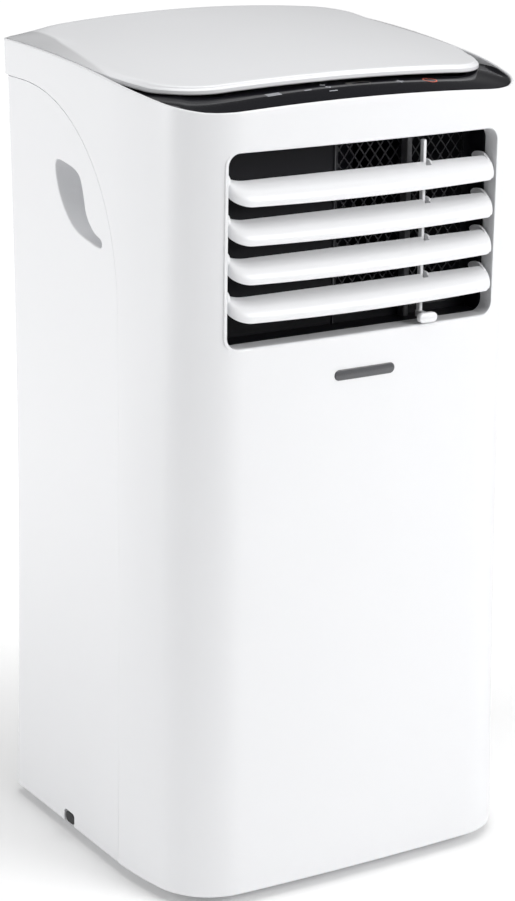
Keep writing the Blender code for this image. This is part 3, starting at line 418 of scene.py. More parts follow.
@dataclass(frozen=True)
class PrintedMark(Finish):
    """Printed or back-lit symbol on the touch panel."""

    glow: float = 0.0

    def build(self, shader: Shader) -> bpy.types.Material:
        """Make the material."""
        wear = shader.noise(900.0, 3.0)
        return shader.surface({
            "Base Color": shader.blend(wear * 0.4, self.colour, self.tone(0.6)),
            "Roughness": wear * 0.1 + self.roughness,
            "Emission Color": shader.blend(wear * 0.4, self.colour, self.tone(0.5)),
            "Emission Strength": self.glow})


class Finishes(Enum):
    """Every finish of the object."""

    SHELL = MouldedPlastic("white shell plastic", "white_shell", (0.80, 0.805, 0.82), 0.30, coat=0.15)
    # The lid's finish paints shade on its flanks.
    LID = LidPlastic("white lid plastic", "white_shell", (0.80, 0.805, 0.82), 0.30, coat=0.15)
    LOUVER = MouldedPlastic("white louver plastic", "white_louver", (0.80, 0.805, 0.82), 0.33)
    BLACK = MouldedPlastic("matt black plastic", "black_plastic", (0.006, 0.006, 0.008), 0.42, grain=0.00002,
                           gloss=0.15)
    GUARD = MouldedPlastic("guard plastic", "black_plastic", (0.016, 0.016, 0.018), 0.22)
    RIB = MouldedPlastic("rib plastic", "black_plastic", (0.055, 0.055, 0.060), 0.35)
    PANEL = PianoBlack("piano black panel", "black_gloss", (0.006, 0.006, 0.008), 0.09)
    BADGE = MouldedPlastic("dark grey badge", "badge", (0.075, 0.076, 0.082), 0.30, coat=0.3)
    FILTER = WovenMesh("woven filter cloth", "filter_mesh", (0.075, 0.075, 0.08), 0.70)
    RUBBER = Rubber("black rubber", "rubber", (0.022, 0.022, 0.023), 0.74)
    ZINC = Galvanised("galvanised sheet", "galvanised", (0.60, 0.61, 0.63), 0.40)
    FINS = FinStack("aluminium fins", "fins", (0.76, 0.77, 0.78), 0.34)
    CAN = DrawnMetal("drawn aluminium", "aluminium_can", (0.72, 0.73, 0.75), 0.32, tarnish=(0.45, 0.46, 0.48))
    COPPER = DrawnMetal("copper tube", "copper", (0.70, 0.34, 0.19), 0.28)
    STEEL = DrawnMetal("turned steel", "steel", (0.55, 0.56, 0.57), 0.30, tarnish=(0.32, 0.31, 0.30))
    ENAMEL = MouldedPlastic("black enamel", "painted_black", (0.016, 0.016, 0.018), 0.30, grain=0.00010,
                            grain_scale=500.0, coat=0.4)
    BOARD = CircuitBoard("green circuit board", "circuit_board", (0.02, 0.13, 0.05), 0.40)
    CASTER = MouldedPlastic("dark grey nylon", "caster", (0.050, 0.050, 0.055), 0.42, grain=0.00006)
    TREAD = MouldedPlastic("grey nylon tread", "caster_tread", (0.070, 0.070, 0.075), 0.50, grain=0.00010)
    SYMBOL = PrintedMark("grey printed symbol", "black_gloss", (0.42, 0.43, 0.46), 0.35, 0.10)
    DISPLAY = PrintedMark("dim display", "black_gloss", (0.050, 0.049, 0.045), 0.25, 0.02)
    POWER = PrintedMark("red power symbol", "black_gloss", (0.62, 0.10, 0.05), 0.35, 0.25)

    def apply(self, obj: bpy.types.Object) -> None:
        """Give a piece this finish and its slot."""
        material = self.value.material()
        if obj.data.materials:
            for k in range(len(obj.data.materials)):
                obj.data.materials[k] = material
        else:
            obj.data.materials.append(material)
        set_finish(obj, self.value.slot)


# ---- Mesh helpers ----


def ease(value: float) -> float:
    """Smooth step from 0 to 1."""
    value = min(1.0, max(0.0, value))
    return value * value * (3 - 2 * value)


def smooth_closed(points: Sequence[Pair], steps: int) -> list[Pair]:
    """Run a closed smooth curve through points, with that many steps between two of them."""
    count = len(points)
    made = []
    for i in range(count):
        p0, p1, p2, p3 = (Vector(points[(i + k) % count]) for k in (-1, 0, 1, 2))
        for k in range(steps):
            t = k / steps
            made.append(tuple(0.5 * (2 * p1 + (p2 - p0) * t + (2 * p0 - 5 * p1 + 4 * p2 - p3) * t * t
                                     + (3 * p1 - p0 - 3 * p2 + p3) * t ** 3)))
    return made


def offset(points: Sequence[Pair], distance: float) -> list[Pair]:
    """Move a closed outline outwards."""
    count = len(points)
    area = sum(points[i][0] * points[(i + 1) % count][1] - points[(i + 1) % count][0] * points[i][1]
               for i in range(count))
    side = math.copysign(1.0, area)
    moved = []
    for i in range(count):
        along = Vector(points[(i + 1) % count]) - Vector(points[i - 1])
        normal = Vector((along.y, -along.x)).normalized() * side
        moved.append(tuple(Vector(points[i]) + normal * distance))
    return moved


def rounded_box(x0: float, x1: float, z0: float, z1: float, radius: float, steps: int = 8,
                straight: int = 12) -> list[Pair]:
    """Outline of a rectangle with round corners.

    Args:
        x0: Left.
        x1: Right.
        z0: Bottom.
        z1: Top.
        radius: Corner radius.
        steps: Steps in each corner.
        straight: Steps along each side.

    Returns:
        The outline, counter-clockwise.
    """
    points: list[Pair] = []
    corners = ((x1 - radius, z0 + radius, -90), (x1 - radius, z1 - radius, 0),
               (x0 + radius, z1 - radius, 90), (x0 + radius, z0 + radius, 180))
    for i, (cx, cz, start) in enumerate(corners):
        for k in range(steps + 1):
            angle = math.radians(start + 90 * k / steps)
            points.append((cx + radius * math.cos(angle), cz + radius * math.sin(angle)))
        nx, nz, begin = corners[(i + 1) % 4]
        after = (nx + radius * math.cos(math.radians(begin)), nz + radius * math.sin(math.radians(begin)))
        here = points[-1]
        for k in range(1, straight):
            t = k / straight
            points.append((here[0] + (after[0] - here[0]) * t, here[1] + (after[1] - here[1]) * t))
    return points


def loft(rings: Sequence[Ring], wrap: bool = False, capped: bool = True) -> bmesh.types.BMesh:
    """Wrap a grid over closed rings of equal length.

    Args:
        rings: The rings, in order.
        wrap: True if the last ring meets the first.
        capped: True to close the first and last ring.

    Returns:
        The mesh.
    """
    rings = [*rings, rings[0]] if wrap else list(rings)
    around, along = len(rings[0]), len(rings) - 1
    bm = bmesh.new()
    bmesh.ops.create_grid(bm, x_segments=around, y_segments=along, size=0.5)
    for vert in bm.verts:
        column = round((vert.co.x + 0.5) * around) % around
        row = round((vert.co.y + 0.5) * along)
        vert.co = rings[row][column]
    bmesh.ops.remove_doubles(bm, verts=bm.verts, dist=MERGE)
    if capped and not wrap:
        bmesh.ops.holes_fill(bm, edges=[e for e in bm.edges if e.is_boundary], sides=0)
    bmesh.ops.recalc_face_normals(bm, faces=bm.faces)
    return bm


def stand(pair: Pair, axis: str, depth: float) -> tuple[float, float, float]:
    """A point from two in-plane coordinates and one along an axis."""
    first, second = pair
    return {"X": (depth, first, second), "Y": (first, depth, second), "Z": (first, second, depth)}[axis]


def slab(outline: Sequence[Pair], axis: str, low: float, high: float, edge: float = 0.0) -> bmesh.types.BMesh:
    """Extrude an outline along an axis, with rounded edges if edge is not 0."""
    if edge <= 0:
        return loft([[stand(p, axis, d) for p in outline] for d in (low, high)])
    rings = []
    for start, direction, turns in ((low, 1, (0, 1, 2, 3)), (high, -1, (3, 2, 1, 0))):
        for k in turns:
            angle = math.radians(30 * k)
            ring = offset(outline, -edge * (1 - math.sin(angle)))
            rings.append([stand(p, axis, start + direction * edge * (1 - math.cos(angle))) for p in ring])
    return loft(rings)


def block(x0: float, x1: float, y0: float, y1: float, z0: float, z1: float,
          edge: float = 0.0) -> bmesh.types.BMesh:
    """A block, its edges bevelled if edge is not 0."""
    bm = bmesh.new()
    bmesh.ops.create_cube(bm, size=1.0)
    bmesh.ops.scale(bm, vec=(x1 - x0, y1 - y0, z1 - z0), verts=bm.verts)
    bmesh.ops.translate(bm, vec=((x0 + x1) / 2, (y0 + y1) / 2, (z0 + z1) / 2), verts=bm.verts)
    if edge > 0:
        bmesh.ops.bevel(bm, geom=bm.edges[:], offset=edge, segments=3, profile=0.5, affect="EDGES",
                        material=-1,
                        clamp_overlap=True)
    return bm


def spun(profile: Sequence[Pair], steps: int = 72) -> bmesh.types.BMesh:
    """Spin an open profile of radius and height, which starts and ends on the axis or closes on itself."""
    bm = bmesh.new()
    verts = [bm.verts.new((radius, 0, height)) for radius, height in profile]
    edges = [bm.edges.new(pair) for pair in zip(verts, verts[1:])]
    if profile[0][0] > MERGE:
        edges.append(bm.edges.new((verts[-1], verts[0])))
    bmesh.ops.spin(bm, geom=verts + edges, cent=(0, 0, 0), axis=(0, 0, 1), angle=math.tau, steps=steps,
                   use_merge=True)
    bmesh.ops.remove_doubles(bm, verts=bm.verts, dist=MERGE)
    bmesh.ops.recalc_face_normals(bm, faces=bm.faces)
    return bm


def turn(bm: bmesh.types.BMesh, axis: str, where: Sequence[float]) -> bmesh.types.BMesh:
    """Lay a spun shape's axis along X or Y and move it to its place."""
    turns = {"X": Matrix.Rotation(math.radians(90), 4, "Y"), "Y": Matrix.Rotation(math.radians(-90), 4, "X"),
             "Z": Matrix.Identity(4)}
    bmesh.ops.transform(bm, matrix=Matrix.Translation(where) @ turns[axis], verts=bm.verts)
    return bm


def softened(profile: Sequence[Pair], radius: float, closed: bool = False) -> list[Pair]:
    """Round the inner corners of a profile with short three-step fillets."""
    made = []
    count = len(profile)
    for i, point in enumerate(profile):
        if not closed and i in (0, count - 1):
            made.append(point)
            continue
        here, before, after = Vector(point), Vector(profile[i - 1]), Vector(profile[(i + 1) % count])
        back, ahead = before - here, after - here
        reach = min(radius, back.length * 0.45, ahead.length * 0.45)
        start, end = here + back.normalized() * reach, here + ahead.normalized() * reach
        for k in range(4):
            t = k / 3
            made.append(tuple(start * (1 - t) ** 2 + here * 2 * t * (1 - t) + end * t * t))
    return made


def join(target: bmesh.types.BMesh, *others: bmesh.types.BMesh) -> bmesh.types.BMesh:
    """Add other meshes to one as separate shells."""
    for other in others:
        mesh = bpy.data.meshes.new("joined")
        other.to_mesh(mesh)
        other.free()
        target.from_mesh(mesh)
        bpy.data.meshes.remove(mesh)
    return target


def raw_object(name: str, bm: bmesh.types.BMesh) -> bpy.types.Object:
    """A bare object of a mesh, not yet a piece."""
    mesh = bpy.data.meshes.new(name)
    bm.to_mesh(mesh)
    bm.free()
    obj = bpy.data.objects.new(name, mesh)
    bpy.context.scene.collection.objects.link(obj)
    return obj


def carve(obj: bpy.types.Object, operation: str, *tools: bmesh.types.BMesh) -> bpy.types.Object:
    """Apply exact Booleans and remove the tools.

    Args:
        obj: The object that is changed.
        operation: DIFFERENCE, UNION or INTERSECT.
        tools: The meshes that cut or join.

    Returns:
        The same object.
    """
    for bm in tools:
        bmesh.ops.recalc_face_normals(bm, faces=bm.faces)
        tool = raw_object("tool", bm)
        modifier = obj.modifiers.new("carve", "BOOLEAN")
        modifier.operation, modifier.solver, modifier.object = operation, "EXACT", tool
        graph = bpy.context.evaluated_depsgraph_get()
        done = bpy.data.meshes.new_from_object(obj.evaluated_get(graph))
        obj.modifiers.clear()
        old, obj.data = obj.data, done
        bpy.data.meshes.remove(old)
        shape = tool.data
        bpy.data.objects.remove(tool)
        bpy.data.meshes.remove(shape)
    return obj


def piece(shape: "bmesh.types.BMesh | bpy.types.Object", name: str, finish: Finishes, body: str,
          stands_for: Iterable[str] = (), weighted: bool = False) -> bpy.types.Object:
    """Finish a piece: smooth it, dress it and let it ride.

    Args:
        shape: A mesh, or an object that Booleans have shaped.
        name: The piece's name.
        finish: Its finish.
        body: The body it rides on.
        stands_for: The CAD nodes it replaces.
        weighted: True to weight its normals by face area.

    Returns:
        The piece.
    """
    obj = shape if isinstance(shape, bpy.types.Object) else raw_object(name, shape)
    obj.name = obj.data.name = name
    obj.data.shade_smooth()
    obj.data.set_sharp_from_angle(angle=SMOOTH_ANGLE)
    obj.data.materials.clear()
    finish.apply(obj)
    if weighted:
        modifier = obj.modifiers.new("weights", "WEIGHTED_NORMAL")
        modifier.keep_sharp = True
        modifier.weight = 60
    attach(obj, body)
    if stands_for:
        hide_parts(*stands_for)
    LOG.info("%s: %d faces on %s", name, len(obj.data.polygons), body)
    return obj


def placed_like(source: bpy.types.Object, name: str, shift: Sequence[float], body: str,
                stands_for: Iterable[str] = ()) -> bpy.types.Object:
    """Copy a piece to another place, its shift in its mesh.

    Args:
        source: The piece that is copied.
        name: The new piece's name.
        shift: How far its mesh moves.
        body: The body it rides on.
        stands_for: The CAD nodes it replaces.

    Returns:
        The new piece.
    """
    mesh = source.data.copy()
    mesh.name = name
    mesh.transform(Matrix.Translation(shift))
    obj = bpy.data.objects.new(name, mesh)
    bpy.context.scene.collection.objects.link(obj)
    obj["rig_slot"] = source["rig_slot"]
    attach(obj, body)
    if stands_for:
        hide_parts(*stands_for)
    LOG.info("%s: copied onto %s", name, body)
    return obj


# ---- The body's form ----


@dataclass(frozen=True)
class BodyForm:
    """The flared body that shell, lid and panel share."""

    shift_y: float = -0.018
    ground: float = 0.010
    wall: float = 0.0025
    waist_z: float = 0.3837
    flare_span: float = 0.7637
    half_width: tuple[float, float] = (0.1722, 0.0128)
    front: tuple[float, float] = (-0.1490, -0.0174)
    rear: tuple[float, float] = (0.1521, 0.0201)
    front_corner: float = 0.0554
    rear_corner: float = 0.012
    bow: float = 0.0024
    toe_in: float = 0.0062
    toe_start: float = -0.0387
    rim_top: float = 0.6920
    rim_fall: float = 0.30
    rim_fall_y: float = 0.1426
    rim_crown: float = 0.0060
    rim_crown_half: float = 0.145
    rim_crown_y: float = -0.102
    seam_centre: tuple[float, float] = (0.120, 0.4915)
    seam_reach: tuple[float, float] = (0.1665, 0.170)
    seam_power: float = 2.2

    def section(self, z: float) -> tuple[float, float, float]:
        """Half width, front and rear at a height, before the shift."""
        t2 = ((z - self.ground - self.waist_z) / self.flare_span) ** 2
        return tuple(base + grow * t2 for base, grow in (self.half_width, self.front, self.rear))

    def half_outline(self, z: float, inset: float, rear_out: float) -> list[Pair]:
        """Dense half outline from the front middle to the rear middle at +X."""
        half, front, rear = self.section(z)
        half, front, rear = half - inset, front + inset, rear + rear_out - inset
        corner = self.front_corner - inset
        flat = half - self.toe_in - corner
        lean = math.radians(2.5)
        end = math.radians(-13.2)
        bow_end = flat + corner * math.sin(lean)
        points = [(bow_end * k / 14, front + self.bow * (k / 14) ** 2) for k in range(14)]
        centre_y = front + self.bow + corner
        for k in range(17):
            angle = -math.pi / 2 + lean + (end + math.pi / 2 - lean) * k / 16
            points.append((flat + corner * math.cos(angle), centre_y + corner * math.sin(angle)))
        x_end, y_end = points[-1]
        for k in range(1, 9):
            t = k / 8
            points.append((half - (half - x_end) * (1 - t) ** 2, y_end + (self.toe_start - y_end) * t))
        small = self.rear_corner - inset
        for k in range(1, 15):
            t = k / 15
            points.append((half, self.toe_start + (rear - small - self.toe_start) * t))
        for k in range(9):
            angle = math.radians(90 * k / 8)
            points.append((half - small + small * math.cos(angle), rear - small + small * math.sin(angle)))
        for k in range(1, 11):
            points.append(((half - small) * (1 - k / 10), rear))
        return points

    def outline(self, z: float, inset: float = 0.0, rear_out: float = 0.0) -> list[Pair]:
        """The whole outline at a height, shifted to its place."""
        half = self.half_outline(z, inset, rear_out)
        whole = half + [(-x, y) for x, y in reversed(half[1:-1])]
        return [(x, y + self.shift_y) for x, y in whole]

    def rim(self, x: float, y: float) -> float:
        """Height of the rim."""
        y -= self.shift_y
        ahead = max(0.0, self.rim_fall_y - y)
        forward = ease((self.rim_crown_y - y) / 0.030)
        crown = self.rim_crown * forward * max(0.0, 1 - (x / self.rim_crown_half) ** 2)
        return self.rim_top - self.rim_fall * ahead * ahead + crown

    def front_at(self, x: float, z: float) -> float:
        """Y of the front face near its middle."""
        half, front, _ = self.section(z)
        flat = half - self.toe_in - self.front_corner
        return front + self.bow * (x / flat) ** 2 + self.shift_y

    def side_at(self, z: float) -> float:
        """Half width of the body."""
        return self.section(z)[0]

    def rear_at(self, z: float) -> float:
        """Y of the rear face, before any band."""
        return self.section(z)[2] + self.shift_y

    def seam(self, gap: float, low: float) -> list[Pair]:
        """The seam as (y, z) from the bottom up and back, moved back by gap."""
        (cy, cz), (ry, rz) = self.seam_centre, self.seam_reach
        y_low = cy - ry + gap
        line = [(y_low, low), (y_low, 0.1), (y_low, 0.2), (y_low, 0.3), (y_low, 0.4)]
        for k in range(49):
            angle = math.radians(180 - 90 * k / 48)
            across = max(0.0, abs(math.cos(angle))) ** (2 / self.seam_power)
            up = abs(math.sin(angle)) ** (2 / self.seam_power)
            line.append((cy - (ry - gap) * across, cz + (rz - gap) * up))
        return [(y + self.shift_y, z) for y, z in line]


FORM = BodyForm()


# ---- Shell ----


@dataclass(frozen=True)
class Shell:
    """Front panel and rear shell, with the edges that meet at the curved seam."""

    form: BodyForm = FORM
    band_out: float = 0.003
    rear_in: float = 0.0015
    side_in: float = 0.0004
    opening: tuple[float, float, float] = (0.1275, 0.480, 0.636)
    opening_r: float = 0.010
    lip: float = 0.0022
    jamb_back: float = -0.148
    seam_round: tuple[float, float] = (0.0012, 0.0004)
    handle: tuple[Pair, ...] = (
        (0.058, 0.602), (0.042, 0.603), (0.020, 0.598), (0.012, 0.586), (0.006, 0.566), (-0.006, 0.554),
        (-0.019, 0.549), (-0.018, 0.543), (0.002, 0.545), (0.026, 0.551), (0.044, 0.564), (0.056, 0.583))

    def tube(self, inset: float, rear_out: float) -> bmesh.types.BMesh:
        """The shell's wall as one closed tube, its rim rounded.

        Args:
            inset: How far the outer face sits inside the form.
            rear_out: How far the rear face stands out.

        Returns:
            The mesh.
        """
        form, wall = self.form, self.form.wall
        top = form.outline(form.rim_top, inset, rear_out)
        rims = [form.rim(x, y) for x, y in top]
        fixed = [form.ground + 0.0006 + k * (0.652 - form.ground) / 50 for k in range(51)]
        fixed = [z for z in fixed if min(abs(z - edge) for edge in self.opening[1:]) > 0.0035]
        rows: list[tuple[float, Callable[[float], float]]] = [(0.0006, lambda rim: form.ground)]
        rows += [(0.0, lambda rim, z=z: z) for z in fixed]
        rows += [(0.0, lambda rim, t=t: 0.652 + (rim - wall / 2 - 0.652) * t) for t in (0.4, 0.8, 1.0)]
        for k in range(1, 6):
            angle = math.radians(180 * k / 6)
            rows.append((wall / 2 * (1 - math.cos(angle)),
                         lambda rim, a=angle: rim - wall / 2 + wall / 2 * math.sin(a)))
        rows += [(wall, lambda rim, t=t: 0.652 + (rim - wall / 2 - 0.652) * t) for t in (1.0, 0.5)]
        rows += [(wall, lambda rim, z=z: z) for z in reversed(fixed[::3])]
        rows.append((wall, lambda rim: form.ground))
        rings = []
        for extra, height in rows:
            levels = [height(rim) for rim in rims]
            cache: dict[float, list[Pair]] = {}
            ring = []
            for i, z in enumerate(levels):
                key = round(z, 5)
                if key not in cache:
                    cache[key] = form.outline(z, inset + extra, rear_out)
                ring.append((*cache[key][i], z))
            rings.append(ring)
        return loft(rings, wrap=True)

    def flared(self, outline: Sequence[Pair], reach: float, round_r: float, side: int) -> bmesh.types.BMesh:
        """A cutter through one side wall whose mouth opens in a rounded lip.

        Args:
            outline: The (y, z) outline of the hole.
            reach: How deep the cutter goes inwards.
            round_r: Radius of the lip.
            side: -1 for the left wall, 1 for the right.

        Returns:
            The cutter.
        """
        rings = []
        for depth, grow in self.lip_steps(round_r):
            ring = offset(outline, grow)
            rings.append([(side * (self.form.side_at(z) - self.side_in - depth), y, z) for y, z in ring])
        rings.append([(side * (self.form.side_at(z) - reach), y, z) for y, z in outline])
        return loft(rings)

    @staticmethod
    def lip_steps(radius: float) -> list[Pair]:
        """Depth and growth of a rounded lip, from outside the wall inwards."""
        steps = [(-radius * 0.8, radius * 2.0)]
        for k in range(1, 6):
            angle = math.radians(90 * k / 5)
            steps.append((radius * (1 - math.cos(angle)), radius * (1 - math.sin(angle))))
        return steps

    def seam_tool(self, region: Sequence[Pair], flare: float) -> bmesh.types.BMesh:
        """A cutter that runs from side to side and opens in a rounded lip at both walls."""
        rings = []
        steps = self.lip_steps(flare)
        for side in (-1, 1):
            ordered = steps if side < 0 else list(reversed(steps))
            for depth, grow in ordered:
                ring = offset(region, grow)
                rings.append([(side * (self.form.side_at(max(0.0, min(0.7, z))) - depth), y, z) for y,
                              z in ring])
        return loft(rings)

    def front(self) -> None:
        """Front panel: face, wrapped sides, top band and jamb."""
        form = self.form
        half, z0, z1 = self.opening
        panel = raw_object("front_panel_skin", self.tube(0.0, self.band_out))
        frame = rounded_box(-half - form.wall, half + form.wall, z0 - form.wall, z1 + form.wall,
                            self.opening_r + form.wall, 10, 16)
        plug = loft([[(x, form.front_at(x, z) + 0.0012, z) for x, z in frame],
                     [(x, self.jamb_back, z) for x, z in frame]])
        carve(panel, "UNION", plug)
        hole = rounded_box(-half, half, z0, z1, self.opening_r, 10, 16)
        steps = self.lip_steps(self.lip)
        rings = [[(x, -0.20, z) for x, z in offset(hole, steps[0][1])]]
        for depth, grow in steps:
            rings.append([(x, form.front_at(x, z) + depth, z) for x, z in offset(hole, grow)])
        rings.append([(x, -0.13, z) for x, z in hole])
        carve(panel, "DIFFERENCE", loft(rings))
        region = form.seam(0.0, -0.05)
        region += [(0.3, region[-1][1]), (0.3, -0.05)]
        carve(panel, "DIFFERENCE", self.seam_tool(region, self.seam_round[0]))
        piece(panel, "front_panel_skin", Finishes.SHELL, "cabinet", ["front_panel"], weighted=True)

    def rear(self) -> None:
        """Rear shell with its windows, ports and hand recesses, its foot notches and their inserts."""
        form = self.form
        shell = raw_object("rear_shell_skin", self.tube(self.side_in, self.side_in - self.rear_in))
        region = form.seam(0.00025, -0.05)
        region += [(0.3, region[-1][1]), (0.3, 0.8), (-0.4, 0.8), (-0.4, -0.05)]
        carve(shell, "DIFFERENCE", self.seam_tool(region, self.seam_round[1]))
        for z0, z1 in ((0.392, 0.640), (0.085, 0.215)):
            hole = rounded_box(-0.126, 0.126, z0, z1, 0.004, 5, 8)
            carve(shell, "DIFFERENCE", self.rear_tool(hole, 0.0012))
        for x, z, radius, lip in ((0.0, 0.290, 0.0642, 0.001), (-0.100, 0.376, 0.0084, 0.0006),
                                  (-0.100, 0.030, 0.0084, 0.0006), (0.110, 0.070, 0.0079, 0.0006)):
            steps = 64 if radius > 0.02 else 28
            ring = [(x + radius * math.cos(math.tau * k / steps), z + radius * math.sin(math.tau * k / steps))
                    for k in range(steps)]
            carve(shell, "DIFFERENCE", self.rear_tool(ring, lip))
        for side in (-1, 1):
            carve(shell, "DIFFERENCE", self.flared(self.handle_outline(), 0.02, 0.0012, side))
        notch = rounded_box(0.017, 0.036, -0.02, form.ground + 0.012, 0.0035, 5, 3)
        carve(shell, "DIFFERENCE", slab(notch, "X", -0.25, 0.25))
        piece(shell, "rear_shell_skin", Finishes.SHELL, "cabinet", ["rear_shell"], weighted=True)
        inserts = bmesh.new()
        for side in (-1, 1):
            near, far = sorted((side * 0.1744, side * 0.1724))
            join(inserts, slab(rounded_box(0.0185, 0.0345, form.ground + 0.0006, form.ground + 0.0105,
                                           0.0045, 6, 3),
                               "X", near, far, 0.0004))
        piece(inserts, "foot_inserts", Finishes.RUBBER, "cabinet")

    def rear_tool(self, outline: Sequence[Pair], lip: float) -> bmesh.types.BMesh:
        """A cutter through the rear wall with a rounded lip."""
        rings = []
        for depth, grow in self.lip_steps(lip):
            rings.append([(x, self.form.rear_at(z) - self.rear_in - depth, z) for x,
                          z in offset(outline, grow)])
        rings.append([(x, 0.105, z) for x, z in outline])
        return loft(rings)

    def handle_outline(self) -> list[Pair]:
        """The hand recess's outline, smoothed and shifted."""
        return [(y + self.form.shift_y, z) for y, z in smooth_closed(self.handle, 5)]

    def cups(self) -> None:
        """The hand recesses: a scooped pocket behind each mouth."""
        outline = self.handle_outline()
        middle = Vector((sum(y for y, _ in outline) / len(outline),
                         sum(z for _, z in outline) / len(outline)))
        for side, label in ((-1, "left"), (1, "right")):
            rings = []
            steps = [(0.0028, 0.0016, 1.0), (0.0028, 0.0, 1.0), (0.010, 0.0, 1.0), (0.0225, -0.0006, 1.0),
                     (0.0255, -0.0022, 0.98), (0.0265, -0.0050, 0.90), (0.0268, -0.0060, 0.5)]
            back = [(0.0292, -0.0040, 0.5), (0.0290, 0.0, 0.98), (0.0120, 0.0022, 1.0), (0.0032, 0.0022, 1.0)]
            for depth, grow, shrink in [*reversed(steps), *reversed(back)]:
                ring = offset(outline, grow)
                rings.append([(side * (self.form.side_at(z) - depth), middle.x + (y - middle.x) * shrink,
                               middle.y + (z - middle.y) * shrink) for y, z in ring])
            bm = loft(rings)
            piece(bm, f"hand_recess_{label}", Finishes.SHELL, "cabinet", [f"handle_cup_{label}"])

    def screws(self) -> None:
        """Cross-head case screws on the rear face."""
        spots = [(x, z) for x in (-0.150, 0.150) for z in (0.055, 0.250, 0.345, 0.655)]
        heads = bmesh.new()
        slots = bmesh.new()
        reach, half = 0.0024, 0.0005
        quarter = [(reach, -half), (reach, half), (half, half)]
        cross = []
        for _ in range(4):
            cross.extend(quarter)
            quarter = [(-b, a) for a, b in quarter]
        for x, z in spots:
            y = self.form.rear_at(z) + (self.band_out if z > 0.65 else -self.rear_in)
            profile = softened([(0, -0.0012), (0.0046, -0.0012), (0.0046, 0.0002), (0.0036, 0.0009),
                                (0, 0.0012)], 0.0005)
            join(heads, turn(spun(profile, 28), "Y", (x, y, z)))
            join(slots, slab([(x + a, z + b) for a, b in cross], "Y", y + 0.0003, y + 0.004))
        screws = carve(raw_object("case_screws", heads), "DIFFERENCE", slots)
        piece(screws, "case_screws", Finishes.STEEL, "cabinet")

    def build(self) -> None:
        """Build every piece of the shell."""
        self.front()
        self.rear()
        self.cups()
        self.screws()


# ---- Top ----


